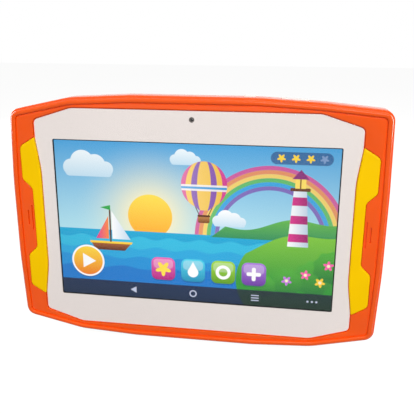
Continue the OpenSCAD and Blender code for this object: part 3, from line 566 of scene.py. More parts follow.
class Painter:
    """Paints flat shapes over one another. Places and sizes are mm from the picture's middle."""

    def __init__(self, tree):
        self.tree = tree
        place = self.step("VectorMath SUBTRACT", in_mm(tree), (0, 0, MID_Z))
        self.point = self.step("VectorMath MULTIPLY", place, (1, 0, 1))
        parts = self.step("SeparateXYZ", self.point).node.outputs
        self.x, self.z = parts["X"], parts["Z"]
        self.colour = linear("96cde1")

    def step(self, kind, *values, out=0):
        """One step of the working: a node in the picture's tree, its sockets filled in order."""
        return put(self.tree, kind, values, out)

    def inside(self, distance):
        """1 where a distance is negative and 0 where it is positive, over a thin soft edge."""
        return self.step("MapRange", distance, -SOFT_EDGE, SOFT_EDGE, 1.0, 0.0)

    def oval(self, x, z, rx, rz=None):
        """Inside an ellipse: the distance to its middle, with each axis divided by its radius."""
        rz = rz or rx
        scaled = self.step("VectorMath MULTIPLY", self.point, (1 / rx, 0, 1 / rz))
        away = self.step("VectorMath DISTANCE", scaled, (x / rx, 0, z / rz), out="Value")
        return self.inside(self.step("Math MULTIPLY_ADD", away, min(rx, rz), -min(rx, rz)))

    def tile(self, x, z, w, h, r):
        """Inside a rounded rectangle: how far the point lies past a smaller rectangle, less r."""
        off = self.step("VectorMath ABSOLUTE", self.step("VectorMath SUBTRACT", self.point, (x, 0, z)))
        past = self.step("VectorMath SUBTRACT", off, (w / 2 - r, 0, h / 2 - r))
        past = self.step("VectorMath MAXIMUM", past, (0, 0, 0))
        past = self.step("VectorMath LENGTH", past, out="Value")
        return self.inside(self.step("Math SUBTRACT", past, r))

    def facets(self, corners):
        """Inside a convex shape given anticlockwise: behind every one of its edges."""
        worst = None
        for (x0, z0), (x1, z1) in zip(corners, corners[1:] + corners[:1]):
            length = math.hypot(x1 - x0, z1 - z0)
            nx, nz = (z1 - z0) / length, (x0 - x1) / length
            ahead = self.step("VectorMath DOT_PRODUCT", self.point, (nx, 0, nz), out="Value")
            ahead = self.step("Math SUBTRACT", ahead, nx * x0 + nz * z0)
            worst = ahead if worst is None else self.step("Math MAXIMUM", worst, ahead)
        return self.inside(worst)

    def under_wave(self, z, height, length, phase, slope=0.0):
        """Below a sine wave on a slope."""
        turn = self.step("Math MULTIPLY_ADD", self.x, 2 * math.pi / length, phase)
        line = self.step("Math MULTIPLY_ADD", self.x, slope, z)
        line = self.step("Math MULTIPLY_ADD", self.step("Math SINE", turn), height, line)
        return self.inside(self.step("Math SUBTRACT", self.z, line))

    def blossom(self, x, z, r, petals, depth=0.3, spin=0.0):
        """Inside a flower: a circle whose radius rises and falls as a cosine, once a petal."""
        dx = self.step("Math SUBTRACT", self.x, x)
        dz = self.step("Math SUBTRACT", self.z, z)
        angle = self.step("Math MULTIPLY_ADD", self.step("Math ARCTAN2", dz, dx), petals, spin)
        reach = self.step("Math MULTIPLY_ADD", self.step("Math COSINE", angle), depth * r, r)
        away = self.step("VectorMath DISTANCE", self.point, (x, 0, z), out="Value")
        return self.inside(self.step("Math SUBTRACT", away, reach))

    def both(self, one, other):
        """Where two shapes overlap."""
        return self.step("Math MULTIPLY", one, other)

    def either(self, first, *others):
        """Where any of the shapes is."""
        for mask in others:
            first = self.step("Math MAXIMUM", first, mask)
        return first

    def without(self, one, other):
        """The first shape with the second cut out."""
        return self.step("Math MULTIPLY", one, self.step("Math SUBTRACT", 1.0, other))

    def fade(self, along, start, end, low, high):
        """A gradient: the hex colour low at start, and high at end."""
        part = self.step("MapRange", along, start, end, 0.0, 1.0)
        return put(self.tree, "Mix", {0: part, 6: linear(low), 7: linear(high)}, 2, data_type="RGBA")

    def paint(self, mask, colour, strength=1.0):
        """Lays a colour (a hex code or a gradient) over what is there."""
        colour = linear(colour) if isinstance(colour, str) else colour
        if strength < 1.0:
            mask = self.step("Math MULTIPLY", mask, strength)
        self.colour = put(self.tree, "Mix", {0: mask, 6: self.colour, 7: colour}, 2, data_type="RGBA")


# %% [markdown]
# Sky, sun, rainbow and clouds come first, then the sea and the far shore, as a painter works from
# back to front.

# %% Sky, sea and shore
def cloud(p, x, z, size, code="f2fbff"):
    """A cloud: four overlapping discs and a flat foot."""
    puffs = [(-1.15, -0.1, 0.55), (-0.4, 0.25, 0.8), (0.45, 0.1, 0.7), (1.15, -0.15, 0.5)]
    discs = [p.oval(x + dx * size, z + dz * size, r * size) for dx, dz, r in puffs]
    foot = p.tile(x, z - 0.42 * size, 3.1 * size, 0.5 * size, 0.24 * size)
    p.paint(p.either(*discs, foot), p.fade(p.z, z - size, z + size, "b9dcf0", code))


def paint_sky(p):
    p.colour = p.fade(p.z, -6, 45, "b4e4f0", "46a4de")
    away = p.step("VectorMath DISTANCE", p.point, (-24, 0, 4), out="Value")
    glow = p.step("MapRange", away, 12, 46, 1.0, 0.0)
    p.paint(p.step("Math POWER", glow, 2.0), "fff2c2", 0.8)
    p.paint(p.oval(-24, 4, 12.5), p.fade(p.z, -4, 16, "ffb52e", "ffe14d"))
    bands = ["d8398f", "f08a24", "ffd23c", "5cba3f", "1b9fe0", "7d4fb0"]
    for k, code in enumerate(bands):
        ring = p.without(p.oval(42, -6, 41 - 2.2 * k), p.oval(42, -6, 38.8 - 2.2 * k))
        p.paint(ring, code, 0.86)
    cloud(p, -58, 31, 8.5)
    cloud(p, -4, 37, 5.0)
    cloud(p, 20, 4, 5.5, "ffffff")


def paint_sea(p):
    sea = p.fade(p.z, -36, -5, "0656b8", "12acd8")
    p.paint(p.under_wave(-5, 0.0, 50, 0), sea)
    waves = [(-9, "35c6e6"), (-15, "1aa0dc"), (-21, "1288d4"), (-27, "0a6cc6")]
    for k, (z, code) in enumerate(waves):
        p.paint(p.under_wave(z, 0.9, 17 + 3 * k, 1.7 * k), code, 0.7)
    headland = p.facets([(10, -6), (77, -6), (77, 30), (34, 14)])
    far = p.under_wave(-1.5, 2.2, 46, 0.6, 0.10)
    p.paint(p.both(far, headland), p.fade(p.z, -6, 8, "2d8f5a", "6cc04a"))
    near = p.under_wave(-20, 3.4, 60, 2.6, 0.26)
    p.paint(p.both(near, p.oval(76, -30, 52, 36)), p.fade(p.z, -30, 4, "2f9a34", "8ed23c"))


# %% [markdown]
# The lighthouse, the balloon and the boat are the picture's main things. Their colours are the
# toy's: magenta, gold, purple, white and brown.

# %% Lighthouse, balloon and boat
def paint_lighthouse(p):
    x, foot, top = 57, -9, 22
    tower = p.facets([(x - 5.6, foot), (x + 5.6, foot), (x + 3.4, top), (x - 3.4, top)])
    p.paint(tower, p.fade(p.x, x - 5, x + 5, "ffffff", "bcd0e4"))
    for k in range(3):
        band = p.both(tower, p.tile(x, foot + 5 + 10.2 * k, 14, 4.6, 0.2))
        p.paint(band, p.fade(p.x, x - 5, x + 5, "e0348e", "9a1f6c"))
    p.paint(p.tile(x, top + 0.8, 10.5, 1.8, 0.6), "6b3a1e")
    p.paint(p.tile(x, top + 4, 5.6, 5.2, 0.4), "ffe066")
    p.paint(p.tile(x, top + 4, 0.7, 5.2, 0.1), "6b3a1e")
    p.paint(p.facets([(x - 4.4, top + 6.4), (x + 4.4, top + 6.4), (x, top + 11.5)]), "8a2a78")


def paint_balloon(p):
    x, z, r = 6, 23, 12.5
    for lean in (-1, 1):
        p.paint(p.facets([(x + lean * 2.4 - 0.25, z - 17), (x + lean * 2.4 + 0.25, z - 17),
                          (x + lean * 6.5 + 0.25, z - 8), (x + lean * 6.5 - 0.25, z - 8)]), "5a3a22")
    envelope = p.either(p.oval(x, z, r, 13), p.facets([(x - 2.6, z - 14), (x + 2.6, z - 14),
                                                       (x + 10.6, z - 6.5), (x - 10.6, z - 6.5)]))
    p.paint(envelope, "e23b96")
    for reach, code in [(0.80, "ffcf3f"), (0.56, "8446b4"), (0.30, "ffcf3f")]:
        p.paint(p.both(envelope, p.oval(x, z - 1, r * reach, 15.5)), code)
    p.paint(p.both(envelope, p.tile(x, z - 1.5, 30, 3.4, 0.2)), "ffffff", 0.85)
    p.paint(p.both(envelope, p.tile(x, z - 1.5, 30, 1.2, 0.2)), "1b9fe0")
    p.paint(envelope, p.fade(p.x, x - r, x + r, "ffffff", "401050"), 0.16)
    p.paint(p.tile(x, z - 19, 6.4, 4.4, 0.9), p.fade(p.z, z - 21, z - 17, "7a4318", "c98a45"))
    p.paint(p.tile(x, z - 17.2, 7, 1.1, 0.5), "5a3010")


def paint_boat(p):
    x, z = -47, -12
    p.paint(p.facets([(x - 9, z - 5.2), (x + 8, z - 5.2), (x + 12.5, z), (x - 12, z)]),
            p.fade(p.z, z - 5, z, "5e2c14", "b4632c"))
    p.paint(p.facets([(x - 12, z - 1.2), (x + 12, z - 1.2), (x + 12.6, z + 0.1), (x - 12.1, z + 0.1)]),
            "ffd23c")
    p.paint(p.tile(x, z + 9.5, 0.9, 19.5, 0.3), "5a3010")
    p.paint(p.facets([(x + 1, z + 1.6), (x + 11.5, z + 1.6), (x + 1, z + 18)]),
            p.fade(p.x, x + 1, x + 11, "ffffff", "c7dcf0"))
    p.paint(p.facets([(x - 1, z + 1.6), (x - 1, z + 15), (x - 8.5, z + 1.6)]),
            p.fade(p.x, x - 8, x - 1, "e0348e", "ff8a3c"))
    p.paint(p.facets([(x + 0.4, z + 18.4), (x + 0.4, z + 21.4), (x - 5.5, z + 19.9)]), "2fa84a")


# %% [markdown]
# Buttons and the bar: round-cornered tiles with a lighter upper half, which is how such buttons
# are drawn to look like sweets. The signs on them are plain shapes.

# %% Bushes, buttons and the bar
def paint_bushes(p):
    for x, z, r in [(66, -27, 10), (52, -30, 8), (75, -20, 9), (40, -33, 6)]:
        p.paint(p.blossom(x, z, r, 9, 0.06, x), p.fade(p.z, z - r, z + r, "1d7a34", "55b53a"))
    for x, z, code in [(62, -25, "ff5fb0"), (70, -29, "ffd23c"), (52, -29, "c77be0"), (74, -19, "ff5fb0")]:
        p.paint(p.blossom(x, z, 2.2, 5, 0.32, x), code)
        p.paint(p.oval(x, z, 0.9), "fff6c8")


def button(p, x, z, size, dark, light):
    """A sweet-like square button: shade, body, lighter upper half."""
    p.paint(p.tile(x, z - 0.7, size, size, 3.4), "0a2a5c", 0.45)
    p.paint(p.tile(x, z, size, size, 3.4), p.fade(p.z, z - size / 2, z + size / 2, dark, light))
    p.paint(p.tile(x, z + size * 0.22, size - 2.2, size * 0.42, 2.2), "ffffff", 0.22)


def paint_buttons(p):
    z = -26.5
    places = [(-17, "b3157e", "f064b8"), (0, "0f8fb8", "4fd6ee"),
              (17, "5a9a12", "a4dc3c"), (34, "6a35a0", "b07ae0")]
    for x, dark, light in places:
        button(p, x, z, 13.5, dark, light)
    p.paint(p.blossom(-17, z, 3.4, 5, 0.35, math.pi / 2), "ffe14d")
    p.paint(p.either(p.oval(0, z - 1.1, 3.0), p.facets([(-2.7, z), (2.7, z), (0, z + 5.2)])), "ffffff")
    p.paint(p.without(p.oval(17, z, 4.2), p.oval(17, z, 2.4)), "ffffff")
    p.paint(p.either(p.tile(34, z, 8, 2.2, 1), p.tile(34, z, 2.2, 8, 1)), "ffffff")
    p.paint(p.oval(-61, -25, 9.6), "0a2a5c", 0.45)
    p.paint(p.oval(-61, -24.4, 9.6), "ffffff")
    p.paint(p.oval(-61, -24.4, 8.6), p.fade(p.z, -33, -16, "f07a10", "ffd83c"))
    p.paint(p.facets([(-64, -28.8), (-56.4, -24.4), (-64, -20)]), "ffffff")
    p.paint(p.tile(57, 39.3, 32, 6.6, 3.3), "173c7c", 0.72)
    for x, code in [(46.5, "ffd83c"), (54, "ffd83c"), (61.5, "ffd83c"), (68.5, "7f9cc8")]:
        p.paint(p.blossom(x, 39.3, 1.7, 5, 0.35, math.pi / 2), code)


def paint_bar(p):
    """The dark bar along the picture's foot, with plain pale signs."""
    p.paint(p.tile(0, -40.6, 170, 9.4, 0.1), p.fade(p.z, -45, -36, "0a0e20", "151a33"))
    pale = "c4cbe2"
    p.paint(p.without(p.oval(0, -40.6, 2.1), p.oval(0, -40.6, 1.4)), pale)
    p.paint(p.facets([(-36.5, -40.6), (-33, -42.6), (-33, -38.6)]), pale)
    for k in (-1, 0, 1):
        p.paint(p.tile(35, -40.6 + 1.5 * k, 4.4, 0.6, 0.3), pale)
    for x in (64, 66.4, 68.8):
        p.paint(p.oval(x, -40.6, 0.6), pale)


# %% [markdown]
# The painted colours go to the shader's emission. A backlight is a little weaker towards its
# corners, so the light falls off by a few parts in a hundred there. Round the picture the panel
# is black glass.

# %% Lit panel
def lit_picture():
    """The panel: black glass whose middle shines with everything that the painter laid down."""
    material, tree = new_material("liquid_crystal_picture")
    p = Painter(tree)
    for step in (paint_sky, paint_sea, paint_lighthouse, paint_balloon, paint_boat,
                 paint_bushes, paint_buttons, paint_bar):
        step(p)
    away = p.step("VectorMath LENGTH", p.point, out="Value")
    away = p.step("MapRange", away, 20, 90, 1.0, 0.9)
    fall = p.step("Math MULTIPLY", away, p.tile(0, 0, PICTURE_W, PICTURE_H, 0.3))
    surface = put(tree, "BsdfPrincipled", {
        "Base Color": linear("0a0b0d"), "Roughness": 0.35, "Specular IOR Level": 0.2,
        "Emission Color": p.colour, "Emission Strength": fall,
    })
    print("picture nodes:", len(tree.nodes))
    return shown(material, surface)


FINISH["screen_picture"] = lit_picture()

# %% [markdown]
# ## Finishes for the construction's own pieces
# Every construction piece that stays in view, or hides inside, gets the finish of its slot.

# %% Finishes inside
for part in frame["record"]["subparts"]:
    mesh = frame["nodes"][part["node"]].data
    mesh.materials.clear()
    mesh.materials.append(FINISH[part["material_slot"]])
print("slots:", sorted(FINISH))

# %% [markdown]
# ## The front half
# On the real toy this is one moulding: a flat face, a rounded rim that stands proud so that the
# glass never touches a table, and a fine groove inside the rim. It could be modelled by bevelling
# a box, but the roundings are then whatever the bevel makes of them. Carrying the rim's own
# profile round the outline keeps it exact. Openings are taken out with cutters whose mouths
# flare, which leaves every edge softly broken, as a polished mould does.

# %% Front moulding
RIM_IN = SEAM_STEP + RIM_W
GROOVE_IN = RIM_IN + GROOVE_W
LEDGE_Y = film_high[1] + 0.3
PLATE_Y = LEDGE_Y + 1.5
FIT, HAIR = 0.15, 0.01


def pocket(corners, depth, lip=0.2, clear=0.0, **place):
    """A cutter from above a surface down to depth, grown by clear. Its mouth flares by a quarter
    round of radius lip: inset = -lip * (1 - sin t), depth = lip * (1 - cos t)."""
    flare = rounding([-lip, -HAIR], [0, lip], 4)
    profile = joined([[-lip, -1.0]], flare, [[0, depth]])
    return carried(corners, profile - [clear, 0], **place)


GROOVE_R, GROOVE_FLOOR = 0.15, FACE_Y + GROOVE_D
RIM_IN_RUN, RIM_OUT_RUN, RIM_OUT_FALL = 1.0, 1.2, 1.6
FOOT_R, FOOT_Y = 0.25, SEAM_Y - 0.03
front_profile = joined(
    rounding([GROOVE_IN + GROOVE_R, FACE_Y], [GROOVE_IN, FACE_Y + GROOVE_R], 3),
    rounding([GROOVE_IN, GROOVE_FLOOR - GROOVE_R], [GROOVE_IN - GROOVE_R, GROOVE_FLOOR], 3, out_first=True),
    [[RIM_IN, GROOVE_FLOOR]],
    rounding([RIM_IN, FACE_Y], [RIM_IN - RIM_IN_RUN, CREST_Y], 8, out_first=True),
    rounding([SEAM_STEP + RIM_OUT_RUN, CREST_Y], [SEAM_STEP, CREST_Y + RIM_OUT_FALL], 8),
    rounding([SEAM_STEP, SEAM_Y - FOOT_R], [SEAM_STEP + FOOT_R, FOOT_Y], 3, out_first=True),
    [[COVER_WALL + FIT, FOOT_Y], [COVER_WALL + FIT, PLATE_Y]],
)
print("front moulding's profile:", len(front_profile), "steps")

# %% [markdown]
# The glass drops into a pocket on a ledge, the screen stands behind a window in that ledge, and
# each grip has a pocket of its own. The sound comes out of two slits beside each grip, a longer
# and a shorter one. They are cut as shallow slots, so they show as dark orange and not as black.

# %% Openings in the front
CAMERA_X, CAMERA_Z = middle("front_camera")[[0, 2]]
CAMERA_SEAT = 6.4
SCREEN_W, SCREEN_H = 2 * span("screen_backlight")[1][[0, 2]]
WINDOW_GAP, THROUGH_PLATE = 0.7, 6.0
GRIP_TUCK, TUCK_Z, POCKET_GAP = 3.5, 48.7, 0.12
SLIT_W, SLIT_Z, SLIT_DEEP = 0.7, 0.3, 1.1
SLITS = [[GRIP_NARROW + 1.2, 14.5], [GRIP_NARROW + 3.5, 8.5]]


def moved(corners, x, z):
    """The corners shifted by x and z."""
    return np.asarray(corners) + [x, z, 0]


def mirrored(corners):
    """The corners on the other side of the middle, still anticlockwise."""
    return (np.asarray(corners) * [-1, 1, 1])[::-1]


on_face, on_ledge = {"origin": (0, FACE_Y, 0)}, {"origin": (0, LEDGE_Y, 0)}
grip_tuck = [[PANEL_W / 2 - GRIP_TUCK, TUCK_Z, 0.5], [PANEL_W / 2 - GRIP_TUCK, -TUCK_Z, 0.5]]
grip_pocket = np.concatenate([GRIP[1:7], grip_tuck])
face_openings = [pocket(PANEL, LEDGE_Y - FACE_Y, clear=PANEL_GAP, **on_face)]
for corners in (grip_pocket, mirrored(grip_pocket)):
    face_openings.append(pocket(corners, LEDGE_Y - FACE_Y, clear=POCKET_GAP, **on_face))
window = rounded_box(SCREEN_W, SCREEN_H, 0.5)
seat = moved(rounded_box(CAMERA_SEAT, CAMERA_SEAT, 0.4), CAMERA_X, CAMERA_Z)
for corners, gap in ((window, WINDOW_GAP), (seat, 0.0)):
    face_openings.append(pocket(corners, THROUGH_PLATE, 0.05, gap, **on_ledge))
for x, length in SLITS:
    slit = moved(rounded_box(SLIT_W, length, SLIT_W / 2 - 0.02), x, SLIT_Z)
    for corners in (slit, mirrored(slit)):
        face_openings.append(pocket(corners, SLIT_DEEP, 0.12, **on_face))
skin("front_shell", carried(BODY, front_profile), "orange_abs", "front_frame", cutters=face_openings)

# %% [markdown]
# ## The back half
# The back is a shallow tub. Its wall follows the same outline, a little outside the front's, so
# that the seam reads as a fine step. The border of the back is a wide quarter ellipse, which is
# what lets fingers curl round such a tablet.

# %% Back moulding
BACK_IN_Y = BACK_Y - COVER_WALL
inner_w, inner_d = BACK_ROUND_W - COVER_WALL / 2, BACK_ROUND_D - COVER_WALL / 2
back_profile = joined(
    rounding([COVER_WALL + inner_w, BACK_IN_Y], [COVER_WALL, BACK_IN_Y - inner_d], 8),
    [[COVER_WALL, SEAM_Y]],
    rounding([0.4, SEAM_Y], [0, SEAM_Y + 0.4], 4),
    rounding([0, BACK_Y - BACK_ROUND_D], [BACK_ROUND_W, BACK_Y], 14, out_first=True),
)

EDGE_LEAN = math.atan2(EDGE_BOW, BODY_W / 2 - SHOULDER_RUN - EDGE_FLAT)
KEY_Y = middle("power_button")[1]
KEY_T, KEY_GAP, KEY_PROUD = 2.6, 0.2, 0.7
POWER_X, POWER_W = 29.0, 6.6
VOLUME_X, VOLUME_W = 52.0, 14.0


def top_z(x):
    """Height of the upper edge at x: straight in the middle, then a steady fall."""
    return BODY_H / 2 - max(0.0, abs(x) - EDGE_FLAT) * math.tan(EDGE_LEAN)


def side_x(z):
    """The right side's x at height z: straight in the middle, then a steady lean."""
    run = BODY_H / 2 - RIGHT_FALL - SIDE_FLAT
    return BODY_W / 2 - RIGHT_LEAN * max(0.0, z - SIDE_FLAT) / run


def on_top(x):
    """Where a key or a hole sits on the upper edge: its place, and the way it faces."""
    lean = EDGE_LEAN if x > EDGE_FLAT else 0.0
    out = (math.sin(lean), 0, math.cos(lean))
    return {"origin": (x, KEY_Y, top_z(x)), "normal": out, "up": (0, 1, 0)}


def on_side(y, z, x=None):
    """Where a thing sits on the right side. Its outline runs across along Y and up along Z."""
    return {"origin": (side_x(z) if x is None else x, y, z), "normal": (1, 0, 0), "up": (0, 0, 1)}


def on_back(x, z, y=BACK_Y):
    """Where a thing sits on the back. Its outline runs across along -X and up along Z."""
    return {"origin": (x, y, z), "normal": (0, 1, 0), "up": (0, 0, 1)}


print(f"upper edge leans {math.degrees(EDGE_LEAN):.2f} degrees; keys at y {KEY_Y:.2f}")

# %% [markdown]
# The tub's openings: two keys and a pinhole for the microphone on the upper edge, three sockets on
# the right side, six screws and a camera on the back. A round hole is a loft of circles, with the
# same flared mouth.

# %% Openings in the back
USB, CARD, JACK = (middle(name)[1:] for name in ("usb_socket", "card_socket", "headphone_socket"))
REAR_X, REAR_Z = middle("rear_lens_ring")[[0, 2]]
RING_R, RING_T, HOLE_R = span("rear_lens_ring")[1][0] - REAR_X, 0.8, 3.2
SCREW_IN, SCREW_DOWN = 11.1, 4.0
FOOT_SCREW_X, FOOT_SCREW_UP = 42.0, 10.9
SCREW_X, SCREW_Z = BODY_W / 2 - SIDE_LEAN - SCREW_IN, BODY_H / 2 - SHOULDER_FALL - SCREW_DOWN
SCREWS = [(sx * SCREW_X, sz * SCREW_Z) for sx in (-1, 1) for sz in (-1, 1)]
SCREWS += [(sx * FOOT_SCREW_X, FOOT_SCREW_UP - BODY_H / 2) for sx in (-1, 1)]
HEAD_D, HEAD_SUNK, HEAD_T = 4.2, 2.1, 1.4
MIC_X, MIC_R, JACK_R, THROUGH_WALL = 39.0, 0.6, 2.8, 4.0
USB_MOUTH, CARD_MOUTH = (3.3, 8.3, 0.6), (1.7, 12.2, 0.3)


def turned(profile, closed=False, points=48, **place):
    """A body of revolution through [radius, depth] steps. A closed profile makes a ring."""
    profile = np.asarray(profile, float)
    return loft([circle(r, points) for r in profile[:, 0]], profile[:, 1], closed=closed, **place)


def drill(r, depth, lip=0.15, **place):
    """A round cutter with a flared mouth."""
    flare = rounding([r + lip, -HAIR], [r, lip], 4)
    return turned(joined([[r + lip, -1.0]], flare, [[r, depth]]), **place)


def mouth(w, h, r, lip, place):
    """An opening through the wall with rounded corners."""
    return pocket(rounded_box(w, h, r), THROUGH_WALL, lip, **place)


key_hole = 2 * KEY_GAP
back_openings = [
    mouth(POWER_W + key_hole, KEY_T + key_hole, 0.5, 0.15, on_top(POWER_X)),
    mouth(VOLUME_W + key_hole, KEY_T + key_hole, 0.5, 0.15, on_top(VOLUME_X)),
    drill(MIC_R, THROUGH_WALL, 0.12, **on_top(MIC_X)),
    mouth(*USB_MOUTH, 0.2, on_side(*USB)),
    mouth(*CARD_MOUTH, 0.2, on_side(*CARD)),
    drill(JACK_R, THROUGH_WALL, 0.25, **on_side(*JACK)),
    drill(RING_R + 0.05, RING_T, 0.1, **on_back(REAR_X, REAR_Z)),
    drill(HOLE_R, 5, 0.05, **on_back(REAR_X, REAR_Z, BACK_Y - RING_T)),
]
back_openings += [drill(HEAD_D / 2 + 0.2, HEAD_SUNK + HEAD_T, 0.2, **on_back(x, z)) for x, z in SCREWS]
skin("back_shell", carried(BODY, back_profile), "orange_abs", "back_cover", cutters=back_openings)

# %% [markdown]
# ## The grips
# Each grip is a soft rubber bracket pressed into its pocket. It stands a few tenths proud of the
# face, so that a thumb finds it, with a well rounded edge. A fine dark gap shows on its outer side.

# %% Rubber grips
GRIP_Y = span("grip_left")[0][1]
grip_profile = joined(
    rounding([1.6, GRIP_Y], [0.7, GRIP_Y + 0.06], 3),
    rounding([0.7, GRIP_Y + 0.06], [0.05, GRIP_Y + 0.7], 7),
    [[0.05, LEDGE_Y - 0.02]],
)
for name, corners in (("grip_left", mirrored(GRIP)), ("grip_right", GRIP)):
    skin(name + "_rubber", carried(corners, grip_profile), "yellow_rubber", name)

# %% [markdown]
# ## The glass and the print behind it
# The sheet has a waist on each long side, where the grips stand, and its edge is ground and
# polished to a small round. The white border is printed on the back of the sheet, with a window
# for the picture and a round hole for the front camera.

# %% Glass and border
glass_profile = joined(
    rounding([0.35, GLASS_Y], [0, GLASS_Y + 0.3], 5),
    rounding([0, FILM_Y - 0.15], [0.15, FILM_Y], 3, out_first=True),
)
skin("glass_sheet", carried(PANEL, glass_profile), "cover_glass", "touch_panel")

MARGIN, PUPIL_R = 0.6, 1.45
PRINT_Y = FILM_Y + 0.01
ink = carried(PANEL, np.array([[0.3, PRINT_Y], [0.3, film_high[1]]]))
skin("border_print", ink, "white_print", "border_film", cutters=[
    pocket(rounded_box(PICTURE_W, PICTURE_H, 0.3), 1, 0.0, MARGIN, origin=(0, PRINT_Y, 0)),
    drill(PUPIL_R, 1, 0.0, origin=(CAMERA_X, PRINT_Y, CAMERA_Z)),
])

# %% [markdown]
# ## The screen
# A liquid crystal cell is a stack: a polariser, two sheets of thin glass, and a second polariser,
# each a little smaller or larger than the next. One stepped profile gives the stack its edge.

# %% Liquid crystal cell
cell_low, cell_high = span("screen_cell")
cell_steps = np.array([[2, 0], [2, 0.2], [1, 0.2], [1, 0.6], [0, 0.6], [0, 1.0], [1.2, 1.0], [1.2, 1.2]])
cell_outline = rounded_box(2 * cell_high[0], 2 * cell_high[2], 0.4)
cell = carried(cell_outline, cell_steps, origin=(0, cell_low[1], 0))
skin("picture_cell", cell, "screen_picture", "screen_cell")

# %% [markdown]
# ## The keys
# Both keys are pale caps that stand 0.7 mm over the upper edge. Behind the wall each has a
# flange that stops it from falling out, and a foot over every switch. The rocker's top dips in
# the middle, so that a finger can tell its two ends apart.

# %% Key caps
FLANGE_T, FOOT_DROP = 1.0, 0.9


def divided(ring, parts):
    """The ring with every side split into equal parts."""
    step = (np.roll(ring, -1, axis=0) - ring)[:, None, :]
    return (ring[:, None, :] + step * np.linspace(0, 1, parts, endpoint=False)[:, None]).reshape(-1, 2)


def key_cap(x, w, flange_gap, dip, feet):
    """A cap, its flange and its feet, made in the key's own frame (across, front to back, out)
    and then set in the edge. The cap's top sinks by dip * (1 - (2 x / w)^2)."""
    flat = {"normal": (0, 0, 1), "up": (0, 1, 0)}
    inner = -COVER_WALL - flange_gap
    edge = rounding([0.45, -KEY_PROUD], [0, 0.4 - KEY_PROUD], 6)
    steps = joined([[1.25, -KEY_PROUD], [0.85, -KEY_PROUD]], edge, [[0, 0.1 - inner]])
    top = rounded_box(w, KEY_T, 0.6)
    cap = loft([divided(outline(top, inset, 6), 6) for inset, _ in steps], steps[:, 1], **flat)
    height = np.clip(cap[0][:, 2] / KEY_PROUD, 0, 1)
    cap[0][:, 2] -= dip * height * (1 - (2 * cap[0][:, 0] / w) ** 2)
    plate = rounded_box(w + 2.4, KEY_T + 0.4, 0.3)
    flange = carried(plate, np.array([[0, -inner], [0, FLANGE_T - inner]]), **flat)
    reach = FLANGE_T - inner
    foot = [[1, reach - 0.1], [1, reach + FOOT_DROP]]
    pegs = [turned(foot, points=24, origin=(f, 0, 0), **flat) for f in feet]
    points, faces = merged(cap, flange, *pegs)
    place = on_top(x)
    u, v, n = basis(place["normal"], place["up"])
    return points @ np.array([u, v, n]) + np.array(place["origin"]), faces


power_cap = key_cap(POWER_X, POWER_W, 0.1, 0.0, [0])
skin("power_cap", power_cap, "pale_abs", "power_button", body="power_key")
volume_cap = key_cap(VOLUME_X, VOLUME_W, 0.3, 0.25, [-4.5, 4.5])
skin("volume_cap", volume_cap, "pale_abs", "volume_rocker", body="volume_key")

# %% [markdown]
# ## The screws
# Six cross-head screws close the case. Their heads are low domes, and the cross narrows as it
# goes down, because a driver's tip does.

# %% Cross-head screws
SCREW_END = span("cover_screws")[0][1]
SCREW_FACE = BACK_Y - HEAD_SUNK
SHANK_R, DOME = 1.0, 0.35
across, arm = 0.28, 1.3
plus_corners = four_quarters([[arm, across, 0.06], [across, across, 0.06], [across, arm, 0.06]])


def screw(x, z):
    """A screw as a body of revolution: a dome r = R sin t, height = h cos t, a rim and a shank."""
    t = np.linspace(0.08, np.pi / 2, 9)
    dome = np.stack([(HEAD_D / 2) * np.sin(t), DOME * (1 - np.cos(t))], axis=1)
    rim = [[HEAD_D / 2, HEAD_T - 0.1], [HEAD_D / 2 - 0.1, HEAD_T], [SHANK_R, HEAD_T]]
    shank = [[SHANK_R, SCREW_FACE - SCREW_END - 0.4], [SHANK_R - 0.4, SCREW_FACE - SCREW_END]]
    return turned(joined(dome, rim, shank), points=36, **on_back(x, z, SCREW_FACE))


screws = merged(*[screw(x, z) for x, z in SCREWS])
cross = np.array([[-0.1, -0.5], [0, 0], [0.12, 0.75], [0.2, 0.8]])
crosses = merged(*[carried(plus_corners, cross, **on_back(x, z, SCREW_FACE)) for x, z in SCREWS])
skin("case_screws", screws, "plated_steel", "cover_screws", cutters=[crosses])

# %% [markdown]
# ## The cameras
# The rear camera looks through a round window in a plated ring that lies flush with the back. The
# front camera looks through the hole in the white print. Each lens is a shiny dome at the bottom of
# a stepped barrel, black at the back and grey at the front, and the steps are there to keep stray light
# out.

# %% Cameras
ring_steps = [[HOLE_R + 0.25, 0], [RING_R - 0.12, 0], [RING_R, 0.12],
              [RING_R, RING_T], [HOLE_R, RING_T], [HOLE_R, 0.3]]
ring = turned(ring_steps, closed=True, points=96, **on_back(REAR_X, REAR_Z))
skin("lens_ring", ring, "plated_steel", "rear_lens_ring")
window = turned([[3.0, 0.2], [3.14, 0.34], [3.14, 0.9]], points=96, **on_back(REAR_X, REAR_Z))
skin("lens_window", window, "dark_glass", "rear_lens_window", finish=tinted_glass)


def barrel(r, pupil, deep, **place):
    """A lens barrel: a rounded rim, steps that narrow inwards, and a hole with a floor."""
    steps = joined([[pupil * 0.7, deep], [pupil * 0.7, deep * 0.6], [pupil * 0.85, deep * 0.6],
                    [pupil * 0.85, deep * 0.3], [pupil, deep * 0.3], [pupil, 0.05]],
                   rounding([r - 0.2, 0], [r, 0.2], 4), [[r, deep + 0.5]])
    return turned(steps, **place)


def lens(r, bulge, **place):
    """A domed lens: radius r sin t, height bulge cos t."""
    t = np.linspace(0.1, np.pi / 2, 10)
    dome = np.stack([r * np.sin(t), bulge * (1 - np.cos(t))], axis=1)
    return turned(joined(dome, [[r, bulge + 0.3]]), **place)


def camera_block(side, thick, x, z, **place):
    """The square block behind a barrel, with its front and back edges broken."""
    steps = np.array([[0.1, 0], [0, 0.1], [0, thick - 0.1], [0.1, thick]])
    return carried(moved(rounded_box(side, side, 0.4), x, z), steps, **place)


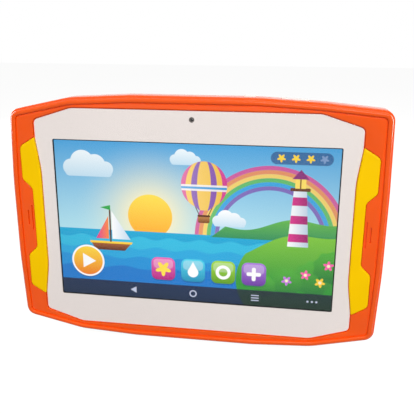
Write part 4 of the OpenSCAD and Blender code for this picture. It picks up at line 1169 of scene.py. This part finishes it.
rear_low, rear_high = span("rear_camera")
rear_block = camera_block(7, 2.6, 0, 0, **on_back(REAR_X, REAR_Z, rear_low[1] + 2.6))
rear_barrel = barrel(2.5, 1.6, 1.2, **on_back(REAR_X, REAR_Z, rear_high[1]))
skin("rear_camera_body", merged(rear_barrel, rear_block), "black_plastic", "rear_camera")
skin("rear_camera_lens", lens(1.12, 0.4, **on_back(REAR_X, REAR_Z, rear_high[1] - 0.75)), "dark_glass")

camera_y = span("front_camera")[0][1]
front_block = camera_block(6, 2.4, CAMERA_X, CAMERA_Z, origin=(0, camera_y + 1.2, 0))
front_barrel = barrel(2.3, 1.1, 0.9, origin=(CAMERA_X, camera_y + 0.02, CAMERA_Z))
skin("front_camera_body", merged(front_barrel, front_block), "black_plastic", "front_camera",
     finish=grey_plastic)
skin("front_camera_lens", lens(0.77, 0.35, origin=(CAMERA_X, camera_y + 0.5, CAMERA_Z)), "dark_glass")

# %% [markdown]
# ## The charging socket
# The socket is folded from thin sheet, with two corners cut so that the plug only goes in one way
# round. Inside is a black tongue with five contacts. The headphone socket is simple, and the
# construction's own piece shows it well.

# %% Charging socket
USB_H, USB_W, USB_LONG, USB_CUT = 2.5, 7.5, 5.6, 0.9
CONTACT_STEP = 0.65
shell_corners = two_halves([
    [USB_H / 2, USB_W / 2, 0.4],
    [USB_CUT - USB_H / 2, USB_W / 2, 0.3],
    [-USB_H / 2, USB_W / 2 - USB_CUT, 0.3],
])
at_usb = on_side(*USB, span("usb_socket")[1][0])
usb_mouth = rounding([0.25, 0], [0, 0.15], 3)
shell_steps = joined([[0.3, 4.6], [0.3, 0.15]], usb_mouth, [[0, USB_LONG]])
skin("socket_shell", carried(shell_corners, shell_steps, **at_usb), "plated_steel", "usb_socket")

tongue_steps = joined(rounding([0.15, 0.5], [0, 0.7], 3), [[0, 4.7]])
tongue = moved(rounded_box(0.6, 3.9, 0.1), 0.15, 0)
skin("socket_tongue", carried(tongue, tongue_steps, **at_usb), "black_plastic")
contact = rounded_box(0.1, 0.4, 0.04)
strip = np.array([[0.05, 0.75], [0, 0.8], [0, 4.65]])
strips = [carried(moved(contact, -0.17, CONTACT_STEP * k), strip, **at_usb) for k in range(-2, 3)]
skin("socket_contacts", merged(*strips), "plated_steel")

# %% [markdown]
# ## The card slot
# A memory card slides into a flat steel cage. From outside it is a long dark mouth with a thin
# bright edge, so the cage is a ring profile carried round a flat rectangle, and it is deep.

# %% Card slot
card_low, card_high = span("card_socket")
card_long, card_thick, card_wide = card_high - card_low
at_card = on_side(*CARD, card_high[0])
cage_mouth = rounding([0.2, 0], [0, 0.12], 3)
cage_steps = joined([[0.26, 9.0], [0.26, 0.12]], cage_mouth, [[0, card_long]])
cage = carried(rounded_box(card_thick, card_wide, 0.12), cage_steps, **at_card)
skin("card_cage", cage, "plated_steel", "card_socket")
stop_steps = np.array([[0.02, 3.0], [0, 3.02], [0, 8.9]])
stop = carried(rounded_box(card_thick - 0.6, card_wide - 0.6, 0.05), stop_steps, **at_card)
skin("card_insulator", stop, "black_plastic")
print("card slot, mm:", card_long.round(2), card_thick.round(2), card_wide.round(2))

# %% [markdown]
# ## Floor and light
# A pale floor and soft studio light. A wide softbox stands above and in front, with a weak fill
# beside it. A strip behind each side and one overhead draw bright lines along the rims, a weak
# lamp lights the back, and the surround is even. Together they light a face about as brightly as
# its colour is written. For the camera, and for what shines or lets light through, floor and
# surround are white, and the floor keeps the shadow under the tablet.

# %% Studio
def looked_at(tree):
    """1 for what the camera, a mirror or clear matter looks at, and 0 for light that only fills."""
    path = put(tree, "LightPath").node.outputs
    seen = path["Is Camera Ray"]
    for ray in ("Is Glossy Ray", "Is Transmission Ray"):
        seen = put(tree, "Math MAXIMUM", [seen, path[ray]])
    return seen


def studio_white(name, code, lift):
    """A white floor: matt, with light of its own for what looks at it."""
    material, tree = new_material(name)
    grain = drift(tree, in_mm(tree), 40, 3, 0.99, 1.0)
    colour = put(tree, "HueSaturation", {"Color": linear(code), "Value": grain})
    matt = put(tree, "BsdfDiffuse", {"Color": colour})
    strength = put(tree, "Math MULTIPLY", [looked_at(tree), lift])
    glow = put(tree, "Emission", {"Strength": strength})
    return shown(material, put(tree, "AddShader", [matt, glow]))


bpy.context.scene.view_settings.view_transform = "Standard"
FLOOR_HALF = 3000.0
around = [(-1, -1), (1, -1), (1, 1), (-1, 1)]
floor_corners = [[x * FLOOR_HALF, y * FLOOR_HALF, -MID_Z] for x, y in around]
floor = in_metres(add_object("floor", floor_corners, [[0, 1, 2, 3]]))
floor.data.materials.append(studio_white("pale_floor", "626260", 0.93))

AMBIENT = 0.26
world = bpy.data.worlds.new("studio")
bpy.context.scene.world = world
world.use_nodes = True
air = world.node_tree
air.nodes.clear()
level = put(air, "MapRange", [looked_at(air), 0, 1, AMBIENT, 1.0])
surround = put(air, "Background", {"Color": linear("ffffff"), "Strength": level})
put(air, "OutputWorld", {"Surface": surround})


def softbox(name, place, wide, tall, radiance):
    """An area lamp at a place in metres that faces the tablet. It sends out pi * radiance watts
    for each square metre, so radiance is how bright it looks in a reflection."""
    lamp = bpy.data.lights.new(name, "AREA")
    lamp.shape, lamp.size, lamp.size_y = "RECTANGLE", wide, tall
    lamp.energy = math.pi * wide * tall * radiance
    away = np.array(place, float) - [0, 0, MID_Z * MM]
    z = away / np.linalg.norm(away)
    x = np.cross([0, 0, 1], z)
    x /= np.linalg.norm(x)
    stood(name, lamp, [x, np.cross(z, x), z], place)


# Name, place, width, height and radiance.
for lamp in [
    ("key_light", (0.3, -1.1, 0.72), 0.8, 0.8, 7.2),
    ("front_fill", (-0.4, -1.2, 0.5), 0.8, 0.8, 0.9),
    ("left_strip", (-0.74, 0.5, 0.2), 0.5, 0.6, 7.0),
    ("right_strip", (0.74, 0.5, 0.2), 0.5, 0.6, 8.0),
    ("top_strip", (0.0, 0.06, 0.9), 0.9, 0.26, 2.3),
    ("back_light", (0.2, 1.2, 0.9), 0.9, 0.9, 0.3),
]:
    softbox(*lamp)
